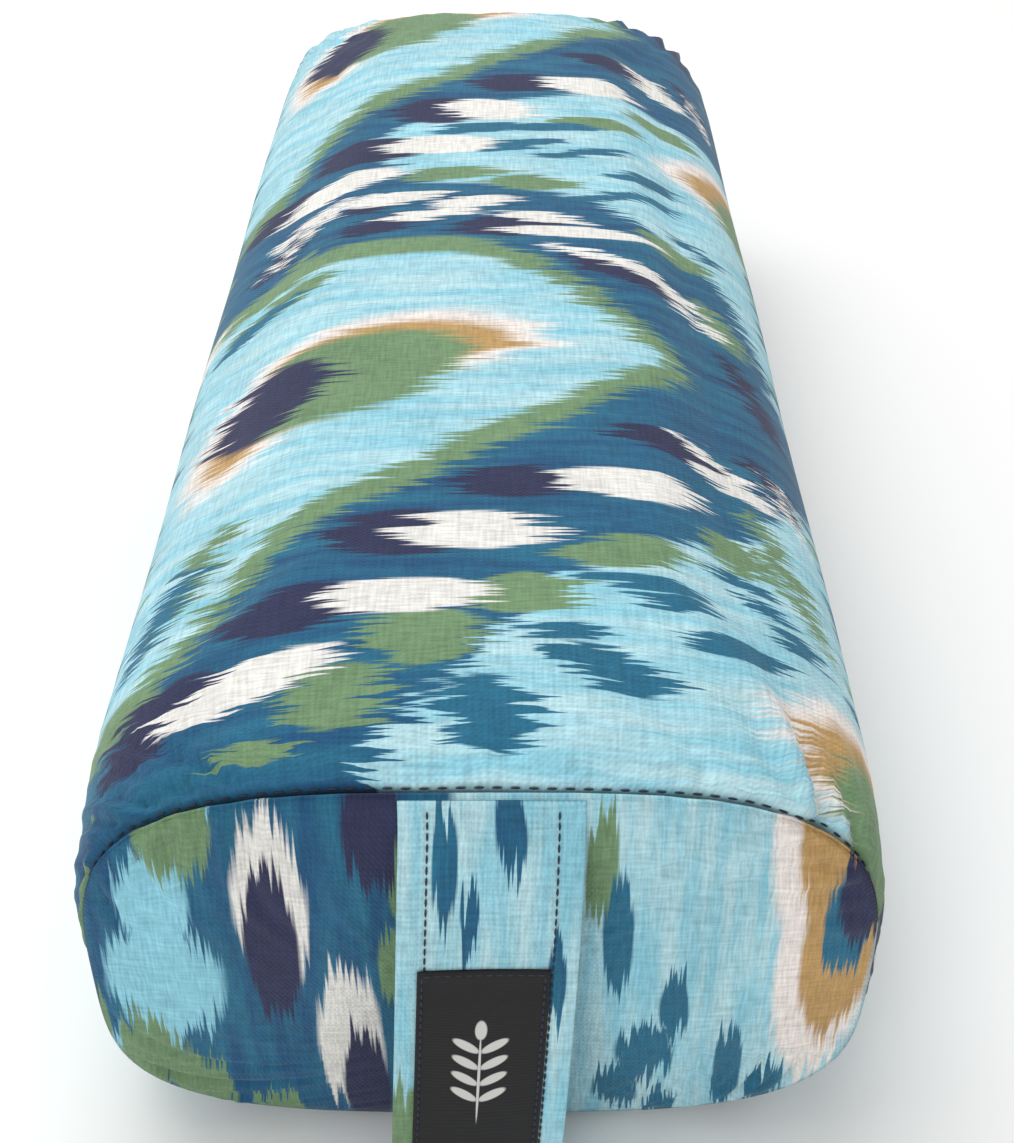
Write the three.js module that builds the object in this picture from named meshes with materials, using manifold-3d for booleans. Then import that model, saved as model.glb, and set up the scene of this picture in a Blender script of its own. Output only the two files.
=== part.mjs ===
// Rectangular bolster pillow: a zipped canvas cover with a grab handle sewn to each end, round a
// cotton liner stuffed with batting. Millimetres, +Z up. The pillow lies on Z = 0 with its length
// along Y, and its labelled end faces -Y. The zip runs low along the +X side.
import * as THREE from "three";
import { mergeVertices } from "three/addons/utils/BufferGeometryUtils.js";
import Module from "manifold-3d";

// Driving dimensions.
const LENGTH = 655; // over the domed end panels
const WIDTH = 278;
const HEIGHT = 176;
const WIDEST_Z = 80; // height of the widest line of the sides
const SQUARENESS = 3.4; // superellipse exponent of the cross-section: 2 is round, 10 is a box
const FLOOR_PRESS = 6; // how far the round underside is pressed flat by the floor
const CLOTH = 1.4; // canvas with its facing
const GAP = 0.3; // clearance between pieces that touch
const END_TAPER = 10; // how much the body shrinks all round at the end seams
const END_ROUND = 60; // length over which it shrinks
const PANEL_DOME = 6; // bulge of an end panel
const SEAM_Y = LENGTH / 2 - PANEL_DOME - CLOTH - GAP; // distance of an end seam from the middle
const THREAD = 0.8; // sewing thread as laid
const COLUMNS = 64; // facets round the cover's section
const INNER_COLUMNS = 30; // and round the liner's and the stuffing's

const HANDLE_WIDTH = 60;
const HANDLE_CLOTH = 2.4; // folded double
// Side view of the slack handle: [distance out from the end seam, height].
const HANDLE_ROUTE = [
  [2.4, 161], [10, 143], [16, 122], [20, 101], [23, 80], [25, 60], [26.5, 40], [27, 22],
  [26.2, 13], [22, 6], [14, 3], [3.6, 2.6],
];
const HANDLE_TOP = HANDLE_ROUTE[0][1];
const GRIP_LOW = 16; // heights between which the handle is pulled out as one
const GRIP_HIGH = 105;
const GRIP_GAP = 1; // gap at both ends of the grip, so that it slides clear of the sewn ends
const TOPSTITCH_X = 20;
const LABEL_WIDTH = 42;
const LABEL_X = -2;
const LABEL_LOW = 18;
const LABEL_HIGH = 104;
const LABEL_CLOTH = 0.8;

const ZIP_HEIGHT = 34;
const ZIP_HALF = 276; // half the length of the zip tape
const SLOT_HALF = 4.5; // half the width of the slot in the cover
const SEWN_SLIT = 0.2; // half the slit where the cover's edges are sewn together
const TAPE_HALF = 14;
const TAPE_EDGE = 1.2; // distance of a tape's inner edge from the zip's centre line
const TAPE_CLOTH = 0.8;
const COIL_CENTRE_GAP = 0.65; // half the gap between the two coils
const COIL_WIDTH = 2.2;
const COIL_HALF = 269; // half the length of the coils
const STOP_LENGTH = 3;
const SLIDER_LENGTH = 11;
const SLIDER_WIDTH = 11;
const SLIDER_Y = -COIL_HALF + SLIDER_LENGTH / 2 + 1;
const PLATE = 1.2;
const TAB_AXIS = 2.9; // height of the pull tab's pin above the cover
const TAB_LENGTH = 24;

const LINER_DEPTH = 6.5; // how far the liner lies inside the cover's outside
const LINER_CLOTH = 1;
const LOOSE_GAP = 2.5; // the stuffing settles this far inside the liner
const BATTING_DEPTH = LINER_DEPTH + LINER_CLOTH + LOOSE_GAP;
const BATTING_THICK = 30;

const wasm = await Module();
wasm.setup();

// ---------- solids from grids of points ----------

// Builds a geometry from triangles, drops collapsed ones, and turns it so that it faces outwards.
function closedGeometry(triangles) {
  const positions = new Float32Array(triangles.flat(2));
  let geometry = new THREE.BufferGeometry();
  geometry.setAttribute("position", new THREE.BufferAttribute(positions, 3));
  geometry = mergeVertices(geometry, 1e-4);
  const at = geometry.attributes.position;
  const index = geometry.index.array;
  const corner = (k) => new THREE.Vector3().fromBufferAttribute(at, k);
  const kept = [];
  let volume = 0;
  for (let k = 0; k < index.length; k += 3) {
    const [a, b, c] = [index[k], index[k + 1], index[k + 2]];
    if (a === b || b === c || c === a) continue;
    kept.push(a, b, c);
    volume += corner(a).dot(corner(b).cross(corner(c)));
  }
  if (volume < 0) kept.reverse();
  geometry.setIndex(kept);
  return geometry;
}

const quad = (a, b, c, d) => [[a, b, c], [a, c, d]];

// A sheet of cloth between two grids of points, grid[row][column], with its edges closed.
// ring joins the last column to the first.
function sheet(outer, inner, ring = false) {
  const triangles = [];
  const rows = outer.length - 1;
  const columns = outer[0].length - (ring ? 0 : 1);
  const next = (j) => (j + 1) % outer[0].length;
  for (let i = 0; i < rows; i++)
    for (let j = 0; j < columns; j++) {
      const k = next(j);
      triangles.push(...quad(outer[i][j], outer[i][k], outer[i + 1][k], outer[i + 1][j]));
      triangles.push(...quad(inner[i][j], inner[i + 1][j], inner[i + 1][k], inner[i][k]));
    }
  for (let j = 0; j < columns; j++) {
    const k = next(j);
    triangles.push(...quad(outer[0][k], outer[0][j], inner[0][j], inner[0][k]));
    triangles.push(...quad(outer[rows][j], outer[rows][k], inner[rows][k], inner[rows][j]));
  }
  if (!ring)
    for (let i = 0; i < rows; i++) {
      const last = columns;
      triangles.push(...quad(outer[i][0], outer[i + 1][0], inner[i + 1][0], inner[i][0]));
      triangles.push(...quad(outer[i + 1][last], outer[i][last], inner[i][last], inner[i + 1][last]));
    }
  return closedGeometry(triangles);
}

function toManifold(geometry) {
  const bare = geometry.clone();
  bare.deleteAttribute("normal");
  bare.deleteAttribute("uv");
  const merged = mergeVertices(bare, 1e-4);
  return new wasm.Manifold(new wasm.Mesh({
    numProp: 3,
    vertProperties: merged.attributes.position.array,
    triVerts: new Uint32Array(merged.index.array),
  }));
}

function fromManifold(solid) {
  const mesh = solid.getMesh();
  const geometry = new THREE.BufferGeometry();
  geometry.setAttribute("position", new THREE.BufferAttribute(new Float32Array(mesh.vertProperties), 3));
  geometry.setIndex(new THREE.BufferAttribute(new Uint32Array(mesh.triVerts), 1));
  return geometry;
}

// A box between two opposite corners.
function box(low, high) {
  const size = high.map((h, k) => h - low[k]);
  return new THREE.BoxGeometry(...size).translate(...low.map((l, k) => l + size[k] / 2));
}

// An outline extruded up by height, as in a plan.
const plate = (shape, height) =>
  new THREE.ExtrudeGeometry(shape, { depth: height, bevelEnabled: false, curveSegments: 6 });

function roundedRectangle(width, length, radius) {
  const [a, b] = [width / 2, length / 2];
  const shape = new THREE.Shape();
  shape.moveTo(-a + radius, -b);
  shape.lineTo(a - radius, -b).absarc(a - radius, -b + radius, radius, -Math.PI / 2, 0);
  shape.lineTo(a, b - radius).absarc(a - radius, b - radius, radius, 0, Math.PI / 2);
  shape.lineTo(-a + radius, b).absarc(-a + radius, b - radius, radius, Math.PI / 2, Math.PI);
  shape.lineTo(-a, -b + radius).absarc(-a + radius, -b + radius, radius, Math.PI, 1.5 * Math.PI);
  return shape;
}

// ---------- the pillow's shape ----------

const signedPower = (value, power) => Math.sign(value) * Math.abs(value) ** power;

// A point of the cross-section, [x, z]: a superellipse pressed flat on the floor, taper smaller
// all round, and depth inside the outer skin.
function sectionPoint(angle, depth, taper = 0) {
  const inset = depth + taper;
  const rise = Math.sin(angle) > 0 ? HEIGHT - WIDEST_Z : WIDEST_Z + FLOOR_PRESS;
  const x = (WIDTH / 2 - inset) * signedPower(Math.cos(angle), 2 / SQUARENESS);
  const z = WIDEST_Z + (rise - inset) * signedPower(Math.sin(angle), 2 / SQUARENESS);
  return [x, Math.max(z, depth)];
}

// The body shrinks to END_TAPER at the seam along a quarter of an ellipse.
function taperAt(y) {
  const from = Math.max(0, 1 - (SEAM_Y - Math.abs(y)) / END_ROUND);
  return END_TAPER * (1 - Math.sqrt(1 - Math.min(1, from) ** 2));
}

// The zip lies where the lower right side reaches ZIP_HEIGHT. Its tilt is that of the surface there.
const zipDrop = (WIDEST_Z - ZIP_HEIGHT) / (WIDEST_Z + FLOOR_PRESS);
const ZIP_ANGLE = -Math.asin(zipDrop ** (SQUARENESS / 2));
const [ZIP_X] = sectionPoint(ZIP_ANGLE, 0);
const ZIP_TILT = Math.atan2(
  zipDrop ** (SQUARENESS - 1) / (WIDEST_Z + FLOOR_PRESS),
  (ZIP_X / (WIDTH / 2)) ** (SQUARENESS - 1) / (WIDTH / 2),
);

// Arc length round the full section, measured upwards from the zip.
const FINE_STEPS = 1440;
const arcTable = [0];
for (let k = 1; k <= FINE_STEPS; k++) {
  const [x0, z0] = sectionPoint(ZIP_ANGLE + (2 * Math.PI * (k - 1)) / FINE_STEPS, 0);
  const [x1, z1] = sectionPoint(ZIP_ANGLE + (2 * Math.PI * k) / FINE_STEPS, 0);
  arcTable.push(arcTable[k - 1] + Math.hypot(x1 - x0, z1 - z0));
}
const GIRTH = arcTable[FINE_STEPS];

function angleAtArc(arc) {
  const wanted = ((arc % GIRTH) + GIRTH) % GIRTH;
  const k = Math.max(1, arcTable.findIndex((length) => length >= wanted));
  const part = (wanted - arcTable[k - 1]) / (arcTable[k] - arcTable[k - 1]);
  return ZIP_ANGLE + (2 * Math.PI * (k - 1 + part)) / FINE_STEPS;
}

// One row of points at y, from one arc length to another, depth below the outer skin.
function skinRow(y, depth, from, to, steps) {
  const row = [];
  for (let k = 0; k <= steps; k++) {
    const [x, z] = sectionPoint(angleAtArc(from + ((to - from) * k) / steps), depth, taperAt(y));
    row.push([x, y, z]);
  }
  return row;
}

const ringRow = (y, depth, steps) => skinRow(y, depth, 0, GIRTH, steps).slice(0, -1);

// Y of the rows of a long piece: close together where the ends round off.
function lengthRows(reach, roundSteps) {
  const ends = [];
  for (let k = 0; k <= roundSteps; k++)
    ends.push(reach - END_ROUND * (1 - Math.cos((k / roundSteps) * (Math.PI / 2))));
  return [...ends.map((y) => -y), 0, ...ends.reverse()];
}

// Cloth wound once round the body: rows at the given y, its two long edges halfGap(y) each side
// of the line startArc.
function wrap(rows, depth, thickness, startArc, halfGap, steps) {
  const grid = (level) =>
    rows.map((y) => skinRow(y, level, startArc + halfGap(y), startArc + GIRTH - halfGap(y), steps));
  return sheet(grid(depth), grid(depth + thickness));
}

// A domed panel that closes an end: side is -1 at the front and 1 at the back.
const PANEL_RINGS = [0, 0.4, 0.68, 0.87, 1];
function endPanel(side, rimY, depth, thickness, steps) {
  const edge = ringRow(SEAM_Y, depth, steps);
  const middle = (HEIGHT - END_TAPER) / 2;
  const grid = (level) => PANEL_RINGS.map((r) => edge.map(([x, , z]) => [
    x * r,
    side * (rimY + level + PANEL_DOME * (1 - r ** 3)),
    middle + (z - middle) * r,
  ]));
  return sheet(grid(thickness), grid(0), true);
}

// A line of stitching laid round an end seam.
function seamThread(side) {
  const y = side * (SEAM_Y + GAP / 2);
  const half = (side * THREAD) / 2;
  const level = (depth) => {
    const flat = ringRow(SEAM_Y, depth, COLUMNS);
    return [flat.map(([x, , z]) => [x, y - half, z]), flat.map(([x, , z]) => [x, y + half, z])];
  };
  return sheet(level(-GAP - THREAD), level(-GAP), true);
}

// ---------- handles ----------

const ROUTE_STEPS = 36;
const handleCurve = new THREE.CatmullRomCurve3(
  HANDLE_ROUTE.map(([out, z]) => new THREE.Vector3(0, out, z)), false, "centripetal",
);
const handlePoints = handleCurve.getSpacedPoints(ROUTE_STEPS).map((point, k) => {
  const tangent = handleCurve.getTangentAt(k / ROUTE_STEPS);
  return { out: point.y, z: point.z, normalOut: -tangent.z, normalZ: tangent.y };
});

// A strip that follows the handle, lift above its middle, between two x and two heights.
function handleStrip(side, lift, thickness, xLow, xHigh, points) {
  const grid = (level) => points.map((p) => [xLow, xHigh].map((x) => [
    x,
    side * (SEAM_Y + CLOTH + GAP + p.out + p.normalOut * level),
    p.z + p.normalZ * level,
  ]));
  return sheet(grid(lift + thickness), grid(lift));
}

const gripPoints = (low, high) => {
  const inside = handlePoints.filter((p) => p.z > low + 1 && p.z < high - 1);
  const at = (z) => {
    const k = handlePoints.findIndex((p) => p.z < z);
    const [a, b] = [handlePoints[k - 1], handlePoints[k]];
    const part = (a.z - z) / (a.z - b.z);
    const mix = (key) => a[key] + (b[key] - a[key]) * part;
    return { out: mix("out"), z, normalOut: mix("normalOut"), normalZ: mix("normalZ") };
  };
  return [at(high), ...inside, at(low)];
};

// The part of the whole strap between two heights.
function handlePiece(side, low, high) {
  const strap = handleStrip(
    side, -HANDLE_CLOTH / 2, HANDLE_CLOTH, -HANDLE_WIDTH / 2, HANDLE_WIDTH / 2, handlePoints,
  );
  const slab = box([-WIDTH, -LENGTH, low], [WIDTH, LENGTH, high]);
  return fromManifold(toManifold(strap).intersect(toManifold(slab)));
}

const onStrap = HANDLE_CLOTH / 2 + GAP;

function topstitch(side, x, low, high) {
  return handleStrip(side, onStrap, THREAD / 2, x - THREAD / 2, x + THREAD / 2, gripPoints(low, high));
}

const label = (lift, thickness, margin) => handleStrip(
  -1, lift, thickness,
  LABEL_X - LABEL_WIDTH / 2 + margin, LABEL_X + LABEL_WIDTH / 2 - margin,
  gripPoints(LABEL_LOW + margin, LABEL_HIGH - margin),
);

function labelStitching() {
  const lift = onStrap + LABEL_CLOTH + GAP;
  const whole = toManifold(label(lift, THREAD / 2, 1.5));
  const middle = toManifold(label(lift - 1, THREAD + 2, 1.5 + THREAD));
  return fromManifold(whole.subtract(middle));
}

// ---------- zip ----------
// Its pieces that ride on the cover's skin follow the section. The rest is made in a frame with
// x out of the cover, y along the zip and z up the cover.

const skinStrip = (depth, thickness, from, to, half) => {
  const grid = (level) => [-half, half].map((y) => skinRow(y, level, from, to, 4));
  return sheet(grid(depth), grid(depth + thickness));
};

const tapeDepth = CLOTH + 0.8;
const COIL_LOW = -CLOTH; // the coil's underside, GAP above the tape
const COIL_TOP = 0.5;
const PLATE_LOW = COIL_TOP + 0.4;
const BELOW_TAPE = -(tapeDepth + TAPE_CLOTH + 1.4);

function coil(up) {
  const near = up * COIL_CENTRE_GAP;
  const far = up * (COIL_CENTRE_GAP + COIL_WIDTH);
  return box(
    [COIL_LOW, -COIL_HALF, Math.min(near, far)],
    [COIL_TOP, COIL_HALF, Math.max(near, far)],
  );
}

function stop(y, low, high) {
  return box([COIL_LOW, y, low], [COIL_TOP + 0.4, y + STOP_LENGTH, high]);
}

// A plan outline in y and z, laid on the cover and thickened outwards.
const outwards = (geometry) => geometry.rotateX(Math.PI / 2).rotateZ(Math.PI / 2);

function slider() {
  const outline = roundedRectangle(SLIDER_LENGTH, SLIDER_WIDTH, 3);
  const upper = outwards(plate(outline, PLATE)).translate(PLATE_LOW, 0, 0);
  const lower = outwards(plate(outline, PLATE)).translate(BELOW_TAPE - PLATE, 0, 0);
  const post = box([BELOW_TAPE - PLATE / 2, -4.5, -0.4], [PLATE_LOW + PLATE / 2, -1.5, 0.4]);
  const bailTop = TAB_AXIS + 2;
  const bail = toManifold(box([PLATE_LOW + PLATE / 2, -4.2, -1.2], [bailTop, 4.2, 1.2]))
    .subtract(toManifold(box([PLATE_LOW + PLATE / 2 - 1, -3, -2], [bailTop - 1, 3, 2])));
  const body = [upper, lower, post].map(toManifold).reduce((a, b) => a.add(b));
  return fromManifold(body.add(bail).add(toManifold(
    box([PLATE_LOW, -4.2, -1.2], [PLATE_LOW + PLATE, 4.2, 1.2]),
  )));
}

function pullTab() {
  const shape = roundedRectangle(TAB_LENGTH, 7, 2.4);
  const blade = outwards(plate(shape, 1)).translate(-0.5, TAB_LENGTH / 2 - 0.6, 0);
  const window = box([-1, 0.6, -1.6], [1, 5.2, 1.6]);
  const fingerHole = new THREE.CylinderGeometry(1.4, 1.4, 4, 20).rotateZ(Math.PI / 2)
    .translate(0, TAB_LENGTH - 5, 0);
  return fromManifold(
    toManifold(blade).subtract(toManifold(window)).subtract(toManifold(fingerHole)),
  );
}

// ---------- filling ----------

function battingWrap(reach) {
  const rows = lengthRows(reach, 3);
  const grid = (depth) => rows.map((y) => ringRow(y, depth, INNER_COLUMNS));
  return sheet(grid(BATTING_DEPTH), grid(BATTING_DEPTH + BATTING_THICK), true);
}

function battingCore(reach) {
  const depth = BATTING_DEPTH + BATTING_THICK + GAP;
  const rings = lengthRows(reach, 3).map((y) => ringRow(y, depth, INNER_COLUMNS));
  const middle = [0, 0, HEIGHT / 2];
  const at = (ring) => ring.map(() => [middle[0], ring[0][1], middle[2]]);
  const grid = [at(rings[0]), ...rings, at(rings[rings.length - 1])];
  const triangles = [];
  for (let i = 0; i < grid.length - 1; i++)
    for (let j = 0; j < grid[i].length; j++) {
      const k = (j + 1) % grid[i].length;
      triangles.push(...quad(grid[i][j], grid[i][k], grid[i + 1][k], grid[i + 1][j]));
    }
  return closedGeometry(triangles);
}

// ---------- materials ----------

const finish = (color, roughness, metalness = 0) =>
  () => new THREE.MeshStandardMaterial({ color, roughness, metalness });
const canvas = finish(0x5fb3c4, 0.85);
const canvasDark = finish(0x1f6f86, 0.85);
const threadDark = finish(0x1c2130, 0.7);
const labelBlack = finish(0x121214, 0.8);
const zipCloth = finish(0x20354a, 0.8);
const nylon = finish(0x16202e, 0.45);
const nickel = finish(0xb9bcc0, 0.28, 1);
const muslin = finish(0xe6dfcc, 0.95);
const cotton = finish(0xf0ece0, 1);

// ---------- assembly ----------

const bolster = new THREE.Group();

function add(name, geometry, material, parent = bolster) {
  const mesh = new THREE.Mesh(geometry, material());
  mesh.name = name;
  parent.add(mesh);
  return mesh;
}

const SLOT_STEP = 4; // length over which the slot closes past the zip
const coverRows = lengthRows(SEAM_Y, 5)
  .filter((y) => Math.abs(y) > ZIP_HALF + SLOT_STEP || y === 0)
  .concat([-ZIP_HALF - SLOT_STEP, -ZIP_HALF, ZIP_HALF, ZIP_HALF + SLOT_STEP])
  .sort((a, b) => a - b);
const slotHalf = (y) => (Math.abs(y) <= ZIP_HALF ? SLOT_HALF : SEWN_SLIT);

add("cover_wrap", wrap(coverRows, 0, CLOTH, 0, slotHalf, COLUMNS), canvas);
for (const [end, side] of [["front", -1], ["back", 1]]) {
  add(`cover_${end}_panel`, endPanel(side, SEAM_Y + GAP, 0, CLOTH, COLUMNS), canvasDark);
  add(`${end}_seam_thread`, seamThread(side), threadDark);
  const cuts = [[GRIP_HIGH + GRIP_GAP / 2, HEIGHT], [GRIP_LOW + GRIP_GAP / 2, GRIP_HIGH - GRIP_GAP / 2],
    [-1, GRIP_LOW - GRIP_GAP / 2]];
  ["upper_end", "grip", "lower_end"].forEach((piece, k) =>
    add(`${end}_handle_${piece}`, handlePiece(side, ...cuts[k]), canvas));
}
const gripRun = [GRIP_LOW + GRIP_GAP, GRIP_HIGH - GRIP_GAP];
const aboveLabel = [GRIP_HIGH + 2 * GRIP_GAP, HANDLE_TOP - 4];
add("front_handle_topstitch_left", topstitch(-1, -TOPSTITCH_X, ...aboveLabel), threadDark);
add("front_handle_topstitch_right", topstitch(-1, TOPSTITCH_X + THREAD, ...gripRun), threadDark);
add("back_handle_topstitch_left", topstitch(1, -TOPSTITCH_X, ...gripRun), threadDark);
add("back_handle_topstitch_right", topstitch(1, TOPSTITCH_X, ...gripRun), threadDark);
add("front_handle_label", label(onStrap, LABEL_CLOTH, 0), labelBlack);
add("label_stitching", labelStitching(), threadDark);

add("zip_tape_upper", skinStrip(tapeDepth, TAPE_CLOTH, TAPE_EDGE, TAPE_HALF, ZIP_HALF - 1), zipCloth);
add("zip_tape_lower", skinStrip(tapeDepth, TAPE_CLOTH, -TAPE_HALF, -TAPE_EDGE, ZIP_HALF - 1), zipCloth);
for (const [name, up] of [["upper", 1], ["lower", -1]]) {
  const line = up * (SLOT_HALF + 3.5);
  add(`zip_topstitch_${name}`,
    skinStrip(-GAP - THREAD / 2, THREAD / 2, line - THREAD / 2, line + THREAD / 2, ZIP_HALF - 4),
    threadDark);
}

const zip = new THREE.Group();
zip.position.set(ZIP_X, 0, ZIP_HEIGHT);
zip.rotation.y = ZIP_TILT;
bolster.add(zip);
add("zip_coil_upper", coil(1), nylon, zip);
add("zip_coil_lower", coil(-1), nylon, zip);
const stopY = COIL_HALF + GAP;
const stopHigh = COIL_CENTRE_GAP + COIL_WIDTH;
add("zip_top_stop_upper", stop(-stopY - STOP_LENGTH, COIL_CENTRE_GAP, stopHigh), nickel, zip);
add("zip_top_stop_lower", stop(-stopY - STOP_LENGTH, -stopHigh, -COIL_CENTRE_GAP), nickel, zip);
add("zip_bottom_stop", stop(stopY, -stopHigh, stopHigh), nickel, zip);
add("zip_slider", slider(), nickel, zip).position.y = SLIDER_Y;
add("zip_pull_tab", pullTab(), nickel, zip).position.set(TAB_AXIS, SLIDER_Y, 0);

const linerEnd = SEAM_Y - 4;
add("liner_wrap",
  wrap(lengthRows(linerEnd, 3), LINER_DEPTH, LINER_CLOTH, GIRTH / 2, () => SEWN_SLIT, INNER_COLUMNS), muslin);
add("liner_front_panel", endPanel(-1, linerEnd + GAP, LINER_DEPTH, LINER_CLOTH, INNER_COLUMNS), muslin);
add("liner_back_panel", endPanel(1, linerEnd + GAP, LINER_DEPTH, LINER_CLOTH, INNER_COLUMNS), muslin);
add("batting_wrap", battingWrap(linerEnd - 3), cotton);
add("batting_core", battingCore(linerEnd - 3), cotton);

export default bolster;
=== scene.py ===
# %% [markdown]
# # Rectangular bolster pillow
# A bolster pillow is a canvas cover round a stuffed liner. The cover is one long wrap, two end
# panels, a grab handle sewn into each end, a woven label and a zip low on one side. The frame
# holds the imported solids with their joints, and every piece made here but the handle straps and
# their stitches rides on one of its bodies.

import bpy
import numpy as np
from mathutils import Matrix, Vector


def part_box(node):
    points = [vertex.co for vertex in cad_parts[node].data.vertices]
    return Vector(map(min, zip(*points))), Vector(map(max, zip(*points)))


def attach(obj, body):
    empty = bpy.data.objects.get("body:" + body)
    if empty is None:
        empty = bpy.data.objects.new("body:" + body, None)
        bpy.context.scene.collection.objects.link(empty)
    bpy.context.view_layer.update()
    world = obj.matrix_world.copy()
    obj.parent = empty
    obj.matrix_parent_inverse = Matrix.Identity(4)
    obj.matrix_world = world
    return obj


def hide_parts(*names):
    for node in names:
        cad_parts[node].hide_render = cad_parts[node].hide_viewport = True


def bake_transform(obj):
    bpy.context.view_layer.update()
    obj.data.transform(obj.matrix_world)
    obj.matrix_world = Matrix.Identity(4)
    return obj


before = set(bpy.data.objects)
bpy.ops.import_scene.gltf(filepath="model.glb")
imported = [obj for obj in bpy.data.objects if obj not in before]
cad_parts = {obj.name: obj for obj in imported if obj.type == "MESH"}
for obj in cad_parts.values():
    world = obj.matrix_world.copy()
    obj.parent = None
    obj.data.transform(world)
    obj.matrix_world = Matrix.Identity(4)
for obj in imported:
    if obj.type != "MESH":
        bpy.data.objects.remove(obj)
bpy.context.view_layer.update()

# %% [markdown]
# The formulas below work in millimetres, as a pattern cutter does, and one factor turns them to
# metres when a mesh is made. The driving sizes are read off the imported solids, so the soft pieces
# always fit them. The few numbers that a box can't give are the ones that shape the section.

# %% Sizes in millimetres
MM = 0.001
wrap_low, wrap_high = (np.array(corner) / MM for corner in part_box("cover_wrap"))
WIDTH = wrap_high[0] - wrap_low[0]
CROWN = 4.0  # the stuffing lifts the cloth this far over the plain solid's top
HEIGHT = wrap_high[2] + CROWN
SEAM_Y = wrap_high[1]
WIDEST_Z = 80.0  # height of the widest line of the sides
SQUARENESS = 3.4  # exponent of the superellipse section
FLOOR_PRESS = 6.0  # how far the underside is pressed flat
END_TAPER = 10.0  # how much the body shrinks all round at an end seam
END_ROUND = 60.0  # length over which it shrinks
PANEL_DOME = 6.0
CLOTH = 1.4
GAP = 0.3
ZIP_Z = 34.0
ZIP_HALF = 276.0
SLOT_HALF = 4.5
print(f"body {WIDTH:.0f} wide, {HEIGHT:.0f} high, seams {2 * SEAM_Y:.0f} apart")

# %% [markdown]
# The camera comes first, because the picture is judged through it. It looks down on the labelled
# end from close by, so the body runs away from it in strong perspective. A small vertical shift
# keeps the sides from converging downwards.

# %% Camera
camera_data = bpy.data.cameras.new("camera")
camera_data.sensor_width = 36
camera_data.lens = 49.6
camera_data.shift_y = -0.18
camera = bpy.data.objects.new("camera", camera_data)
camera.location = (0.0086, -0.6456, 0.5385)
CAMERA_PITCH = 33.37  # degrees below the horizon
camera.rotation_euler = (np.radians(90 - CAMERA_PITCH), 0, 0)
bpy.context.scene.collection.objects.link(camera)
bpy.context.scene.camera = camera

# %% [markdown]
# Every node of every material is added by one small function: it makes the node, sets its
# properties, and joins or fills its inputs. Colours are written as the hex values that a colour
# picker shows and turned to linear light by another.


# %% Node and colour helpers
def add(tree, kind, inputs=None, out=0, **settings):
    """Add a shader node, set its properties, fill or link its inputs, and return one output."""
    node = tree.nodes.new("ShaderNode" + kind)
    for name, value in settings.items():
        setattr(node, name, value)
    for place, value in (inputs or {}).items():
        if isinstance(value, bpy.types.NodeSocket):
            tree.links.new(value, node.inputs[place])
        else:
            node.inputs[place].default_value = value
    return node.outputs[out]


def linear(hex_colour):
    """Linear RGBA of an sRGB hex colour: c / 12.92 when dark, else ((c + 0.055) / 1.055)^2.4."""
    c = np.array([int(hex_colour[k : k + 2], 16) for k in (1, 3, 5)]) / 255
    dark = c <= 0.04045
    return (*np.where(dark, c / 12.92, ((c + 0.055) / 1.055) ** 2.4), 1.0)


def new_material(name):
    """An empty node material, with its tree and its Principled shader linked to the output."""
    material = bpy.data.materials.new(name)
    material.use_nodes = True
    tree = material.node_tree
    tree.nodes.clear()
    surface = add(tree, "BsdfPrincipled")
    output = tree.nodes.new("ShaderNodeOutputMaterial")
    tree.links.new(surface, output.inputs["Surface"])
    return material, tree, surface.node


# %% [markdown]
# The studio is a pale floor under two large soft lights and an even white sky. One wide light
# overhead gives the top its brightness, and a second, low beside the camera, keeps the labelled
# end readable while the folds keep some shade.

# %% Floor and lights
FLOOR_SIZE = 8.0
floor_mesh = bpy.data.meshes.new("floor")
FLOOR_Z = -0.0004  # just under the pillow, so the two never share a plane
corners = [(x * FLOOR_SIZE, y * FLOOR_SIZE, FLOOR_Z) for x, y in ((-1, -1), (1, -1), (1, 1), (-1, 1))]
floor_mesh.from_pydata(corners, [], [(0, 1, 2, 3)])
floor = bpy.data.objects.new("floor", floor_mesh)
bpy.context.scene.collection.objects.link(floor)
floor_material, _, floor_shader = new_material("matt white studio floor")
floor_shader.inputs["Base Color"].default_value = linear("#f4f4f3")
floor_shader.inputs["Roughness"].default_value = 0.9
floor_mesh.materials.append(floor_material)

LIGHTS = {
    # name: (place, aim, width, watts)
    "overhead": ((-0.5, 0.6, 2.2), (0, 0.1, 0.1), 2.0, 37),
    "beside_camera": ((-0.9, -1.9, 0.9), (0, -0.2, 0.08), 1.2, 10),
}
for name, (place, aim, width, watts) in LIGHTS.items():
    data = bpy.data.lights.new(name, "AREA")
    data.size = width
    data.energy = watts
    light = bpy.data.objects.new(name, data)
    light.location = place
    toward = (np.array(aim) - np.array(place)).tolist()
    light.rotation_euler = Vector(toward).to_track_quat("-Z", "Y").to_euler()
    bpy.context.scene.collection.objects.link(light)

world = bpy.data.worlds.new("studio")
world.use_nodes = True
world.node_tree.nodes["Background"].inputs["Color"].default_value = (1, 1, 1, 1)
world.node_tree.nodes["Background"].inputs["Strength"].default_value = 0.62
bpy.context.scene.world = world
bpy.context.scene.view_settings.view_transform = "Standard"

# %% [markdown]
# The body's section is a superellipse: flatter than an ellipse along the sides and rounder than a
# box at the corners, with its widest line below the middle, since a heavy pillow settles. The
# floor cuts it flat. Cloth is measured along its surface, so a table of arc length, counted up
# from the zip, turns a distance across the cloth into an angle of the section.


# %% Section of the body
def signed_power(value, power):
    """sign(value) |value|^power."""
    return np.sign(value) * np.abs(value) ** power


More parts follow.
